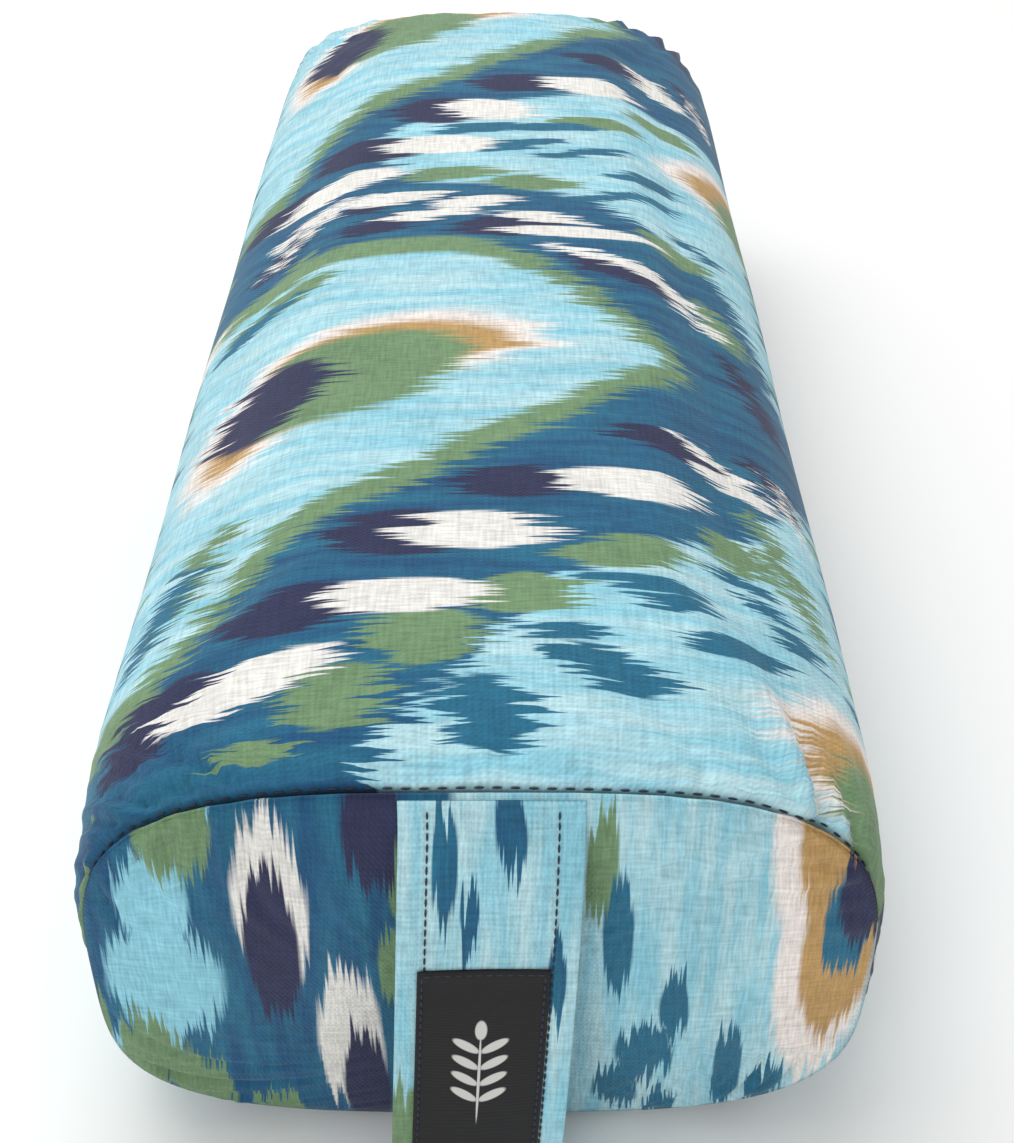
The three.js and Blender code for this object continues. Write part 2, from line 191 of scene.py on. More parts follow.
def section(angle, inset, depth):
    """x = (W/2 - inset) cos^(2/n), z = widest + (rise - inset) sin^(2/n), never under depth."""
    rise = np.where(np.sin(angle) > 0, HEIGHT - WIDEST_Z, WIDEST_Z + FLOOR_PRESS)
    x = (WIDTH / 2 - inset) * signed_power(np.cos(angle), 2 / SQUARENESS)
    z = WIDEST_Z + (rise - inset) * signed_power(np.sin(angle), 2 / SQUARENESS)
    return x, np.maximum(z, depth)


def taper(y):
    """Shrinkage at y: a quarter of an ellipse, END_ROUND long and END_TAPER high."""
    part = np.clip(1 - (SEAM_Y - np.abs(y)) / END_ROUND, 0, 1)
    return END_TAPER * (1 - np.sqrt(1 - part**2))


zip_drop = (WIDEST_Z - ZIP_Z) / (WIDEST_Z + FLOOR_PRESS)
ZIP_ANGLE = -np.arcsin(zip_drop ** (SQUARENESS / 2))
angle_table = ZIP_ANGLE + np.linspace(0, 2 * np.pi, 2881)
outline_x, outline_z = section(angle_table, 0, 0)
steps = np.hypot(np.diff(outline_x), np.diff(outline_z))
arc_table = np.concatenate([[0], np.cumsum(steps)])
GIRTH = arc_table[-1]
TOP_ARC = np.interp(np.pi / 2, angle_table, arc_table)
CORNER_ARCS = np.interp(np.radians([47, 133, 226, 314]), angle_table, arc_table)
print(f"girth {GIRTH:.0f} mm")


def body_point(y, arc, depth=0.0):
    """Points of the body's skin at y and at an arc length round it, depth under the surface."""
    y, arc = np.broadcast_arrays(y, arc)
    angle = np.interp(arc % GIRTH, arc_table, angle_table)
    x, z = section(angle, depth + taper(y), depth)
    return np.stack([x, y, z], axis=-1)


# %% [markdown]
# Most pieces are grids: rows and columns of points worked out as whole arrays, with a face
# between each four neighbours. One function puts such a grid into a mesh, joins its first and
# last column if it is a ring, closes a pole with one point, and stores the print's coordinates.


# %% Mesh helpers
def grid_faces(rows, columns, ring):
    """Faces between neighbouring points of a grid, as an array of four indices each."""
    i, j = np.meshgrid(np.arange(rows - 1), np.arange(columns if ring else columns - 1), indexing="ij")
    k = (j + 1) % columns
    faces = [i * columns + j, i * columns + k, (i + 1) * columns + k, (i + 1) * columns + j]
    return np.stack(faces, -1).reshape(-1, 4)


def make_piece(name, points, faces, material, uv=None, smooth=True):
    """A mesh object from points in millimetres and a list of faces, with one UV pair a point."""
    mesh = bpy.data.meshes.new(name)
    mesh.from_pydata((points.reshape(-1, 3) * MM).tolist(), [], faces)
    if uv is not None:
        layer = mesh.uv_layers.new(name="print")
        corner_point = np.zeros(len(mesh.loops), np.int32)
        mesh.loops.foreach_get("vertex_index", corner_point)
        layer.data.foreach_set("uv", (uv.reshape(-1, 2)[corner_point] * MM).ravel())
    mesh.polygons.foreach_set("use_smooth", [smooth] * len(mesh.polygons))
    mesh.materials.append(material)
    mesh.validate()
    mesh.update()
    piece = bpy.data.objects.new(name, mesh)
    bpy.context.scene.collection.objects.link(piece)
    print(f"{name}: {len(mesh.vertices)} points, {len(mesh.polygons)} faces")
    return piece


def normals_of(points, ring=False):
    """Unit normals of a grid: the cross product of its slopes along rows and along columns."""
    if ring:
        across = np.roll(points, -1, axis=1) - np.roll(points, 1, axis=1)
    else:
        across = np.gradient(points, axis=1)
    along = np.gradient(points, axis=0)
    n = np.cross(along, across)
    return n / np.maximum(np.linalg.norm(n, axis=-1, keepdims=True), 1e-9)


def on_cushion(piece, node):
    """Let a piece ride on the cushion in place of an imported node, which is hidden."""
    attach(piece, "cushion")
    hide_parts(node)
    return piece


def solidify(piece, thickness):
    """Give a sheet its thickness, all of it on the inner side."""
    modifier = piece.modifiers.new("cloth", "SOLIDIFY")
    modifier.thickness = thickness * MM
    modifier.offset = -1
    modifier.use_even_offset = False
    return piece


# %% [markdown]
# The cloth is a plain-woven cotton canvas with a printed ikat design. In real ikat the threads
# are dyed before weaving and slip a little against each other, so each colour ends in long
# ragged streaks along one thread direction. The print copies that. The way to draw it is to
# shift every point along the streak direction by a noise that changes from thread to thread but
# hardly along a thread, and only then ask which shape the point is in.


# %% Ikat colours and streaks
TEAL = linear("#266682")
TEAL_DEEP = linear("#1e5075")
AQUA = linear("#86c1d1")
AQUA_PALE = linear("#aed1d8")
NAVY = linear("#2c304e")
GREEN = linear("#6c8a66")
TAN = linear("#b3905c")
PETAL_WHITE = linear("#dddbd6")
BLUSH = linear("#e3dbd6")

STREAKS = (
    # length and width of the streaks in mm, and how far they shift the print
    (70, 1.0, 36),
    (60, 2.8, 30),
    (55, 11.0, 16),
)


def stretched(tree, along, across, length, width, seed=0.0):
    """The place (along / length, across / width, seed), at which a noise is sampled."""
    return add(tree, "CombineXYZ", {
        0: add(tree, "Math", {0: along, 1: 1 / length}, operation="MULTIPLY"),
        1: add(tree, "Math", {0: across, 1: 1 / width}, operation="MULTIPLY"),
        2: seed,
    })


def slipped(tree, along, across, seed):
    """The place (along + sum of shift (noise - 0.5), across), whose noises are long and thin."""
    for length, width, shift in STREAKS:
        spot = stretched(tree, along, across, length, width, seed)
        noise = add(tree, "TexNoise", {"Vector": spot, "Scale": 1.0, "Detail": 1.0})
        centred = add(tree, "Math", {0: noise, 1: -0.5}, operation="ADD")
        along = add(tree, "Math", {0: centred, 1: float(shift), 2: along}, operation="MULTIPLY_ADD")
    return along, add(tree, "CombineXYZ", {0: along, 1: across})


def spindles(tree, place, shapes, edge=0.06):
    """1 inside any of the ellipses (along, across, half length, half width, tilt in degrees)."""
    nearest = None
    for along, across, half_length, half_width, tilt in shapes:
        local = add(tree, "Mapping", {
            "Vector": place,
            "Location": (along, across, 0),
            "Rotation": (0, 0, np.radians(tilt)),
            "Scale": (half_length, half_width, 1),
        }, vector_type="TEXTURE")
        reach = add(tree, "VectorMath", {0: local}, out=1, operation="LENGTH")
        nearest = reach if nearest is None else add(
            tree, "Math", {0: nearest, 1: reach}, operation="MINIMUM")
    return add(tree, "MapRange", {"Value": nearest, "From Min": 1 + edge, "From Max": 1 - edge})


def painted(tree, under, colour, mask):
    """colour laid over what is under it where mask is 1."""
    return add(tree, "MixRGB", {"Fac": mask, "Color1": under, "Color2": colour})


def grounds(tree, place):
    """Teal and aqua grounds, each mottled by soft streaks 60 mm long and 7 mm wide."""
    spot = add(tree, "VectorMath", {0: place, 1: (1 / 60, 1 / 7, 1)}, operation="MULTIPLY")
    noise = add(tree, "TexNoise", {"Vector": spot, "Scale": 1.0, "Detail": 1.0})
    share = add(tree, "MapRange", {"Value": noise, "From Min": 0.35, "From Max": 0.65})
    return painted(tree, TEAL_DEEP, TEAL, share), painted(tree, AQUA, AQUA_PALE, share)


# %% [markdown]
# The big shapes of the design are pointed fields of aqua on a teal ground. Each field lies
# between an upper and a lower edge, and each edge is a curve across the cloth, so a Float Curve
# node holds it. The design repeats along the pillow.

# %% Fields of the design
REPEAT = 338.0  # mm from one motif to the same motif along the pillow
CURVE_SPAN = 480.0  # the curves run from minus to plus half of this, both ways

FIELD_A_UPPER = ((-230, -70), (-130, -42), (-90, -28), (-50, -18), (-12, -18), (15, -30), (45, -60),
                 (67, -90), (76, -101), (90, -125))
FIELD_A_LOWER = ((-230, -330), (-150, -275), (-112, -257), (-87, -221), (-62, -196), (-25, -171),
                 (5, -148), (37, -128), (60, -108), (76, -101), (90, -80))
FIELD_B_LOWER = ((-80, 110), (-50, 72), (-40, 61), (10, 50), (50, 34), (75, 14), (105, 0), (125, -38),
                 (150, -90), (230, -150))
FIELD_B_UPPER = ((-80, 60), (-50, 105), (-5, 124), (40, 139), (90, 142), (125, 135), (230, 100))
NEAR_FIELD = ((-230, -420), (-60, -345), (-27, -303), (-5, -281), (12, -258), (30, -240), (62, -221),
              (92, -205), (110, -185), (150, -150), (230, -140))


def edge_curve(tree, along, points):
    """The height of a smooth curve through the points, at a distance along the streaks."""
    node = add(tree, "FloatCurve", {"Value": add(tree, "MapRange", {
        "Value": along, "From Min": -CURVE_SPAN / 2, "From Max": CURVE_SPAN / 2,
    })}).node
    curve = node.mapping.curves[0]
    scaled = [(x / CURVE_SPAN + 0.5, (y + 90) / CURVE_SPAN + 0.5) for x, y in points]
    curve.points[0].location = scaled[0]
    curve.points[1].location = scaled[-1]
    for x, y in scaled[1:-1]:
        curve.points.new(x, y)
    node.mapping.update()
    return add(tree, "MapRange", {
        "Value": node.outputs[0], "To Min": -CURVE_SPAN / 2 - 90, "To Max": CURVE_SPAN / 2 - 90,
    })


def inside(tree, across, lower, upper):
    """Distance inside the band between two edges: min(across - lower, upper - across)."""
    above = add(tree, "Math", {0: across, 1: lower}, operation="SUBTRACT")
    below = add(tree, "Math", {0: upper, 1: across}, operation="SUBTRACT")
    return add(tree, "Math", {0: above, 1: below}, operation="MINIMUM")


def over(tree, distance, start=-1.5, end=1.5):
    """0 under start and 1 over end, for a distance in millimetres."""
    return add(tree, "MapRange", {"Value": distance, "From Min": start, "From Max": end})


# %% [markdown]
# The small shapes are listed by where a print designer would place them: distance across the
# cloth, distance along the pillow, half length, half width and tilt. Petals are a navy spindle
# with a white one at its right, dashes are teal, leaves are green, and the eye is a teardrop of
# blush, tan, green and navy, one inside the other.

# %% Motifs of the wrap
PETAL_NAVY = (
    (12, -187, 24, 10, 0), (-28, -216, 26, 13, 0), (-62, -252, 29, 11, 6), (-110, -286, 27, 13, 22),
    (75, -158, 28, 8, -10), (120, -158, 20, 6, -50),
    (8, 8, 24, 10, 0), (-47, 14, 26, 8, 22), (-97, 10, 24, 7, 45), (62, -33, 31, 6, -27),
    (119, -95, 30, 7, -58), (-57, 31, 16, 5, 20),
    (172, -110, 26, 9, -46), (-160, -64, 26, 9, 46),
)
PETAL_LIGHT = (
    (54, -188, 26, 9.5, -4), (-1, -215, 25, 10.5, -4), (-26, -249, 29, 8.5, 3), (-78, -281, 34, 8, 17),
    (96, -162, 26, 4, -32), (97, -170, 18, 5, -18), (126, -168, 20, 2.5, -62),
    (25, 17, 22, 4.5, -14), (38, 3, 34, 5, -4), (-6, 34, 20, 6, 8), (-28, 21, 23, 5.5, 9),
    (-44, 41, 24, 7.5, 16), (-90, 30, 20, 4, 35), (-82, 25, 38, 3, 47), (66, -26, 40, 4.5, -26),
    (94, -51, 16, 4, -26), (188, -132, 24, 6, -46), (-144, -46, 24, 6, 46),
)
LEAVES = (
    (-46, -290, 18, 12, 10), (-18, -268, 20, 12, 8), (15, -248, 19, 10, 8), (50, -226, 20, 9, 8),
    (93, -212, 14, 10, -20), (115, -212, 36, 6, -66), (-72, -307, 14, 4, 0), (-110, -222, 34, 8, 62),
    (-95, -42, 30, 7, 26), (-93, -17, 22, 6, 50), (87, 4, 21, 9, -10), (108, -47, 22, 7, -56),
    (20, 53, 22, 7, -6), (-20, 62, 26, 6, 6), (55, 112, 26, 6, 0), (95, 128, 22, 6, -8),
)
DASHES = (
    (3, -297, 16, 12, -30), (43, -280, 19, 8, -20), (28, -266, 14, 4, 0), (57, -242, 20, 4, -4),
    (65, -250, 13, 4, 0), (85, -264, 20, 5, 6), (91, -226, 15, 3.5, -10), (99, -236, 11, 4, -20),
    (114, -249, 11, 5, -20), (-118, -232, 26, 8, 62), (-106, -50, 24, 5, 30),
    (68, 45, 30, 5, 18), (102, 18, 14, 5, -30), (10, 88, 26, 5, 10), (48, 82, 24, 4, 12),
    (-8, 104, 24, 5, 8), (30, 106, 26, 4, 4), (78, 66, 20, 4, 14),
)
EYE_TILT = 28.7
EYE_RIM = (-50, -125, 84, 50, EYE_TILT)
EYE_GREEN = ((-56, -114, 52, 27, 24),)
EYE_NAVY = ((-88, -122, 30, 19, 42),)
EYE_BASE = (-107.0, 0.536)  # the teardrop's straight lower edge: height at 0 and slope
MIRROR_ALONG = 117.0  # the second eye is the first one turned left to right
MIRROR_ACROSS = 181.0
NEAR_EYE = 45.0  # how much further along than one repeat the near copy of it lies


def eye(tree, under, along, across, place):
    """The teardrop: an ellipse cut off under a straight line, with three shapes inside it."""
    local = add(tree, "Mapping", {
        "Vector": place, "Location": (*EYE_RIM[:2], 0), "Rotation": (0, 0, np.radians(EYE_RIM[4])),
        "Scale": (*EYE_RIM[2:4], 1),
    }, vector_type="TEXTURE")
    reach = add(tree, "VectorMath", {0: local}, out=1, operation="LENGTH")
    base = add(tree, "Math", {0: along, 1: EYE_BASE[1], 2: EYE_BASE[0]}, operation="MULTIPLY_ADD")
    lift = add(tree, "Math", {0: across, 1: base}, operation="SUBTRACT")
    cut = add(tree, "MapRange", {
        "Value": lift, "From Min": -20, "From Max": 40, "To Min": 1.4, "To Max": 0.2})
    whole = add(tree, "Math", {0: reach, 1: cut}, operation="MAXIMUM")
    colour = painted(tree, under, BLUSH, add(tree, "MapRange", {
        "Value": whole, "From Min": 1.06, "From Max": 0.93}))
    colour = painted(tree, colour, TAN, add(tree, "MapRange", {
        "Value": whole, "From Min": 0.90, "From Max": 0.80}))
    colour = painted(tree, colour, GREEN, spindles(tree, place, EYE_GREEN, 0.08))
    return painted(tree, colour, NAVY, spindles(tree, place, EYE_NAVY, 0.08))


# %% [markdown]
# The cloth's own look comes on top of the print. Seen close, single threads are a little lighter
# or darker, which makes a heathered grid, and the weave stands up in small bumps. The threads
# are about 1.3 mm apart one way and 0.9 mm the other. That is near the smallest detail that can
# show, so the weave is drawn at its real size and kept low. Cotton is matt, with a faint sheen
# of loose fibres.

# %% Cloth finish
THREAD_PITCH_ALONG = 0.9  # mm between the threads that run along the streaks
THREAD_PITCH_ACROSS = 1.27
HEATHER = (
    # length and width of the uneven patches in mm, and how strongly they shade the colour
    (9, THREAD_PITCH_ALONG, 0.5),
    (THREAD_PITCH_ACROSS, 11, 0.42),
    (38, 30, 0.22),
)


def canvas_finish(tree, shader, colour, along, across):
    """Heathered threads in the colour and a plain weave in the bump."""
    shade = None
    for length, width, depth in HEATHER:
        spot = stretched(tree, along, across, length, width)
        noise = add(tree, "TexNoise", {"Vector": spot, "Scale": 1.0, "Detail": 1.0},
                    noise_dimensions="2D")
        centred = add(tree, "Math", {0: noise, 1: -0.5}, operation="ADD")
        shade = add(tree, "Math", {0: centred, 1: depth, 2: 1.0 if shade is None else shade},
                    operation="MULTIPLY_ADD")
    coloured = add(tree, "VectorMath", {0: colour, "Scale": shade}, operation="SCALE")
    tree.links.new(coloured, shader.inputs["Base Color"])

    waves = [
        add(tree, "Math", {0: add(tree, "Math", {0: value, 1: np.pi / pitch}, operation="MULTIPLY")},
            operation="SINE")
        for value, pitch in ((across, THREAD_PITCH_ALONG), (along, THREAD_PITCH_ACROSS))
    ]
    weave = add(tree, "Math", {0: waves[0], 1: waves[1]}, operation="MULTIPLY")
    slubs = add(tree, "Math", {0: shade, 1: 2.0, 2: weave}, operation="MULTIPLY_ADD")
    bump = add(tree, "Bump", {"Height": slubs, "Strength": 0.45, "Distance": 0.14 * MM})
    tree.links.new(bump, shader.inputs["Normal"])
    shader.inputs["Roughness"].default_value = 0.92
    shader.inputs["Specular IOR Level"].default_value = 0.25
    shader.inputs["Sheen Weight"].default_value = 0.12
    shader.inputs["Sheen Roughness"].default_value = 0.5


SIDE_FROM = 128.0  # mm from the top centre line to where the sides begin
STROKE = (46.0, 12.0)  # length and width of a stroke on the sides
STROKE_LEVEL = 0.60  # height of the noise over which there is a stroke


def side_strokes(tree, along, across, seed):
    """Loose strokes on the sides: 1 where a long thin noise is high, past SIDE_FROM."""
    spot = stretched(tree, along, across, *STROKE, seed)
    noise = add(tree, "TexNoise", {"Vector": spot, "Scale": 1.0, "Detail": 0.0})
    away = add(tree, "Math", {0: along}, operation="ABSOLUTE")
    level = add(tree, "MapRange", {
        "Value": away, "From Min": SIDE_FROM, "From Max": SIDE_FROM + 15, "To Min": 1.0,
        "To Max": STROKE_LEVEL})
    above = add(tree, "Math", {0: noise, 1: level}, operation="SUBTRACT")
    return add(tree, "MapRange", {"Value": above, "From Min": -0.008, "From Max": 0.008})


def print_place(tree):
    """The print's own coordinates in millimetres: along the streaks and across them."""
    uv = add(tree, "UVMap", uv_map="print")
    scaled = add(tree, "VectorMath", {0: uv, "Scale": 1 / MM}, operation="SCALE")
    parts = add(tree, "SeparateXYZ", {0: scaled}).node
    return parts.outputs[0], parts.outputs[1]


# %% Wrap material: cotton canvas printed with ikat
def wrap_canvas():
    """Teal ground, aqua fields edged in green, then leaves, dashes, eyes and petals."""
    material, tree, shader = new_material("cotton canvas ikat wrap")
    along, across = print_place(tree)
    shifted, place = slipped(tree, along, across, 1.0)

    past_a = add(tree, "Math", {0: across, 1: 46.0}, operation="GREATER_THAN")
    cell_a = add(tree, "Math", {0: past_a, 1: -REPEAT, 2: across}, operation="MULTIPLY_ADD")
    before_b = add(tree, "Math", {0: across, 1: -185.0}, operation="LESS_THAN")
    cell_b = add(tree, "Math", {0: before_b, 1: REPEAT + NEAR_EYE, 2: across}, operation="MULTIPLY_ADD")
    place_a = add(tree, "CombineXYZ", {0: shifted, 1: cell_a})

    field_a = inside(tree, cell_a, edge_curve(tree, shifted, FIELD_A_LOWER),
                     edge_curve(tree, shifted, FIELD_A_UPPER))
    field_b = inside(tree, across, edge_curve(tree, shifted, FIELD_B_LOWER),
                     edge_curve(tree, shifted, FIELD_B_UPPER))
    near_edge = edge_curve(tree, shifted, NEAR_FIELD)
    near = add(tree, "Math", {0: near_edge, 1: across}, operation="SUBTRACT")
    teal, aqua = grounds(tree, place)

    colour = painted(tree, teal, GREEN, over(tree, field_a, -17, -14))
    colour = painted(tree, colour, aqua, over(tree, field_a))
    colour = painted(tree, colour, aqua, over(tree, field_b))
    colour = painted(tree, colour, aqua, over(tree, near))
    for tint, seed in ((GREEN, 21.0), (TEAL, 35.0)):
        colour = painted(tree, colour, tint, side_strokes(tree, shifted, across, seed))
    colour = painted(tree, colour, GREEN, spindles(tree, place, LEAVES))
    colour = painted(tree, colour, TEAL, spindles(tree, place, DASHES))
    colour = painted(tree, colour, NAVY, spindles(tree, place_a, PETAL_NAVY))
    colour = painted(tree, colour, PETAL_WHITE, spindles(tree, place_a, PETAL_LIGHT))
    colour = eye(tree, colour, shifted, cell_a, place_a)

    turned_along = add(tree, "Math", {0: MIRROR_ALONG, 1: shifted}, operation="SUBTRACT")
    turned_across = add(tree, "Math", {0: cell_b, 1: MIRROR_ACROSS}, operation="SUBTRACT")
    turned = add(tree, "CombineXYZ", {0: turned_along, 1: turned_across})
    colour = eye(tree, colour, turned_along, turned_across, turned)
    canvas_finish(tree, shader, colour, along, across)
    return material


# %% [markdown]
# The end panels and handles are cut from the same cloth with the streaks upright, so their
# motifs are listed with the height first and the distance across the end second.

# %% Motifs of the end panels and handles
END_WHITE = ((124, -66, 40, 12, 0), (52, -44, 42, 11, 0), (175, -36, 14, 3, 0))
END_NAVY = ((104, -67, 36, 9, 0), (26, -40, 38, 8, 0), (160, -33, 26, 9, 0), (126, 122, 22, 8, 0))
END_GREEN = (
    (134, -21, 20, 7, 0), (92, -28, 22, 5, 0), (155, -95, 22, 13, 0), (42, -112, 20, 13, 0),
    (22, -96, 20, 10, 0), (8, -72, 14, 9, 0), (140, 38, 24, 5, 0), (60, -132, 16, 6, 0),
)
END_AQUA = ((124, -104, 20, 12, 0), (84, -104, 28, 20, 0), (28, -128, 30, 10, 0), (168, -88, 8, 6, 0))
END_DASHES = (
    (110, 44, 26, 5, 0), (77, 64, 18, 5, 0), (50, 55, 16, 10, 0), (26, 46, 14, 8, 0),
    (38, 84, 26, 5, 0), (24, 98, 14, 7, 0), (12, 62, 12, 6, 0),
)
END_TEAL_CORNER = ((114, 118, 24, 8, 0),)
END_TAN = ((158, 112, 50, 13, 0), (100, 116, 46, 12, 0))
END_BLUSH = ((156, 107, 60, 17, 0), (92, 112, 62, 16, 0))
END_LAYERS = (  # from the lowest to the highest
    (AQUA, END_AQUA), (GREEN, END_GREEN), (TEAL, END_DASHES), (BLUSH, END_BLUSH), (TAN, END_TAN),
    (TEAL, END_TEAL_CORNER), (PETAL_WHITE, END_WHITE), (NAVY, END_NAVY),
)
STRAP_DASHES = ((140, -14, 20, 4, 0), (152, 6, 16, 5, 0), (122, -6, 14, 3, 0), (100, 22, 18, 3, 0))


def end_canvas(name, seed, split):
    """Teal on the left of the split and aqua on its right, with the upright motifs."""
    material, tree, shader = new_material(name)
    along, across = print_place(tree)
    _, place = slipped(tree, along, across, seed)
    colour = painted(tree, *grounds(tree, place), over(tree, add(
        tree, "Math", {0: across, 1: split}, operation="SUBTRACT")))
    for tint, shapes in END_LAYERS:
        colour = painted(tree, colour, tint, spindles(tree, place, shapes, 0.08))
    canvas_finish(tree, shader, colour, along, across)
    return material


def strap_canvas():
    """Aqua cloth with a few teal dashes and a green edge low on the left."""
    material, tree, shader = new_material("cotton canvas ikat strap")
    along, across = print_place(tree)
    _, place = slipped(tree, along, across, 7.0)
    teal, aqua = grounds(tree, place)
    colour = painted(tree, aqua, teal, spindles(tree, place, STRAP_DASHES, 0.08))
    colour = painted(tree, colour, GREEN, spindles(tree, place, ((20, -24, 30, 8, 0),), 0.08))
    canvas_finish(tree, shader, colour, along, across)
    return material


wrap_material = wrap_canvas()
end_material = end_canvas("cotton canvas ikat end", 3.0, -8.0)
strap_material = strap_canvas()
print("canvas nodes", [len(m.node_tree.nodes) for m in (wrap_material, end_material, strap_material)])

# %% [markdown]
# The wrap is one piece of canvas carried once round the stuffing, from one side of the zip to
# the other. The stuffing pushes it out while the end seams, which are shorter, hold it back.
# The cloth simulation finds where the skin rises and where it sinks: a closed skin, held at its
# seams and along the zip, starts a little too small and is blown up by a pressure. Twenty frames
# leave it far rounder than a firm pillow, so its unevenness is scaled down and capped, and most of
# its points end up at a cap.


# %% Swell the body by simulation
SIM_ROWS = 96
SIM_COLUMNS = 160
START_INSET = 3.5
SWELL_SHARE = 0.6  # how much of the simulated unevenness is kept
SWELL_CAP = 6.0
SINK_CAP = 2.5
SIM_FRAMES = 20


def row_places(count):
    """y from seam to seam, close together near the seams: a line plus a sine of its place."""
    w = np.linspace(-1, 1, count)
    return SEAM_Y * (0.3 * w + 0.7 * np.sin(w * np.pi / 2))


def swelling():
    """How far the blown-up skin lies outside the section, on the grid of the simulation."""
    y = row_places(SIM_ROWS)[:, None]
    arc = np.arange(SIM_COLUMNS)[None, :] * GIRTH / SIM_COLUMNS
    rest = body_point(y, arc)
    normal = normals_of(rest, ring=True)
    held = np.minimum(1, np.minimum(SEAM_Y - np.abs(y), 30) / 30)
    start = rest - normal * START_INSET * held[..., None]
    ends = np.array([[0, -SEAM_Y, HEIGHT / 2], [0, SEAM_Y, HEIGHT / 2]])
    points = np.concatenate([start.reshape(-1, 3), ends])
    faces = grid_faces(SIM_ROWS, SIM_COLUMNS, True)[:, ::-1].tolist()
    last = (SIM_ROWS - 1) * SIM_COLUMNS
    centre = SIM_ROWS * SIM_COLUMNS
    for j in range(SIM_COLUMNS):
        k = (j + 1) % SIM_COLUMNS
        faces += [(j, k, centre), (last + k, last + j, centre + 1)]
    skin = make_piece("simulated_skin", points, faces, wrap_material)
    pinned = skin.vertex_groups.new(name="held")
    seams = [*range(SIM_COLUMNS), *range(last, last + SIM_COLUMNS), centre, centre + 1]
    pinned.add(seams, 1.0, "REPLACE")
    pinned.add(list(range(0, last, SIM_COLUMNS)), 0.6, "REPLACE")
    cloth = skin.modifiers.new("cloth", "CLOTH").settings
    cloth.vertex_group_mass = "held"
    cloth.quality = 5
    cloth.mass = 0.3
    cloth.tension_stiffness = 20
    cloth.compression_stiffness = 20
    cloth.bending_stiffness = 0.6
    cloth.shrink_min = -0.025
    cloth.use_pressure = True
    cloth.uniform_pressure_force = 4
    cloth.effector_weights.gravity = 0
    scene = bpy.context.scene
    for number in range(1, SIM_FRAMES + 1):
        scene.frame_set(number)
    evaluated = skin.evaluated_get(bpy.context.evaluated_depsgraph_get())
    moved = np.zeros(len(evaluated.data.vertices) * 3, np.float32)
    evaluated.data.vertices.foreach_get("co", moved)
    moved = moved.reshape(-1, 3)[:centre].reshape(rest.shape) / MM - rest
    bpy.data.objects.remove(skin)
    scene.frame_set(1)
    outward = (moved * normal).sum(-1, keepdims=True)
    print(f"swelled by {outward.min():.1f} to {outward.max():.1f} mm, {outward.mean():.1f} on average")
    kept = np.clip(SWELL_SHARE * (outward - outward.mean()), -SINK_CAP, SWELL_CAP)
    return normal * kept


def resampled(field, rows, columns):
    """A ring grid's values at other rows and columns, by straight lines between neighbours."""
    ring = np.concatenate([field, field[:, :1]], axis=1)
    at_row = np.interp(rows, row_places(SIM_ROWS), np.arange(SIM_ROWS))
    at_column = columns * SIM_COLUMNS
    i = np.clip(at_row.astype(int), 0, SIM_ROWS - 2)[:, None]
    j = np.clip(at_column.astype(int), 0, SIM_COLUMNS - 1)[None, :]
    u = (at_row[:, None] - i)[..., None]
    v = (at_column[None, :] - j)[..., None]
    low = ring[i, j] * (1 - v) + ring[i, j + 1] * v
    high = ring[i + 1, j] * (1 - v) + ring[i + 1, j + 1] * v
    return low * (1 - u) + high * u


swell = swelling()

# %% [markdown]
# What the simulation is too coarse for is added by formula. Sewing draws the cloth in, so a seam
# lies in a shallow groove. At the corners the wrap has to turn round a tight curve and is eased
# in, which leaves a fan of small puckers that die away within a few centimetres. Past the seam
# the cloth turns inwards as the seam allowance.

# %% Wrap of the cover
WRAP_ROWS = 176
WRAP_COLUMNS = 212
PUCKER_WAVE = 15.0
PUCKER_REACH = 24.0
PUCKER_HEIGHT = 2.5
CORNER_SPREAD = 42.0  # mm each side of a corner where the puckers stand
ALLOWANCE = ((0.5, 0.1), (3.0, 0.1), (8.0, 0.4))  # seam allowance: inset and set-back of its rows
CREASE = (7.0, 4.5)  # depth and half width of the tuck's crease
FOLD = (5.0, 6.5, 11.0)  # height and half width of the fold beside it, and its distance from it
DRAWN_FROM = 50.0  # past this y the print is drawn out, to DRAWN_SHARE of its repeat
DRAWN_SHARE = 0.8


def corner_share(arc, spread=CORNER_SPREAD):
    """1 at the four corners of the section, falling to 0 as a bell curve."""
    away = np.abs((arc[..., None] - CORNER_ARCS + GIRTH / 2) % GIRTH - GIRTH / 2)
    return np.exp(-((away / spread) ** 2)).max(-1)


def puckers(arc, from_seam, phase):
    """Height of the folds: two waves across the seam, dying away from it, highest at corners."""
    fan = arc / (1 + from_seam / 220)
    wave = np.sin(2 * np.pi * fan / PUCKER_WAVE + phase) + 0.6 * np.sin(
        2 * np.pi * fan / (PUCKER_WAVE * 1.7) + 2.1 * phase)
    height = PUCKER_HEIGHT * (0.12 + corner_share(arc))
    ramp = np.clip(from_seam / 5, 0, 1)
    return height * wave * ramp * np.exp(-from_seam / PUCKER_REACH)


def dart(arc, from_seam, end):
    """The tuck at the upper right front corner: a deep bell-shaped crease beside a raised fold."""
    line = CORNER_ARCS[0] - 4 + 0.35 * from_seam
    crease = -CREASE[0] * np.exp(-(((arc - line) / CREASE[1]) ** 2))
    fold = FOLD[0] * np.exp(-(((arc - line - FOLD[2]) / FOLD[1]) ** 2))
    reach = np.exp(-((from_seam / 34) ** 2)) * np.clip(0.25 + from_seam / 4, 0, 1)
    return (crease + fold) * reach * end


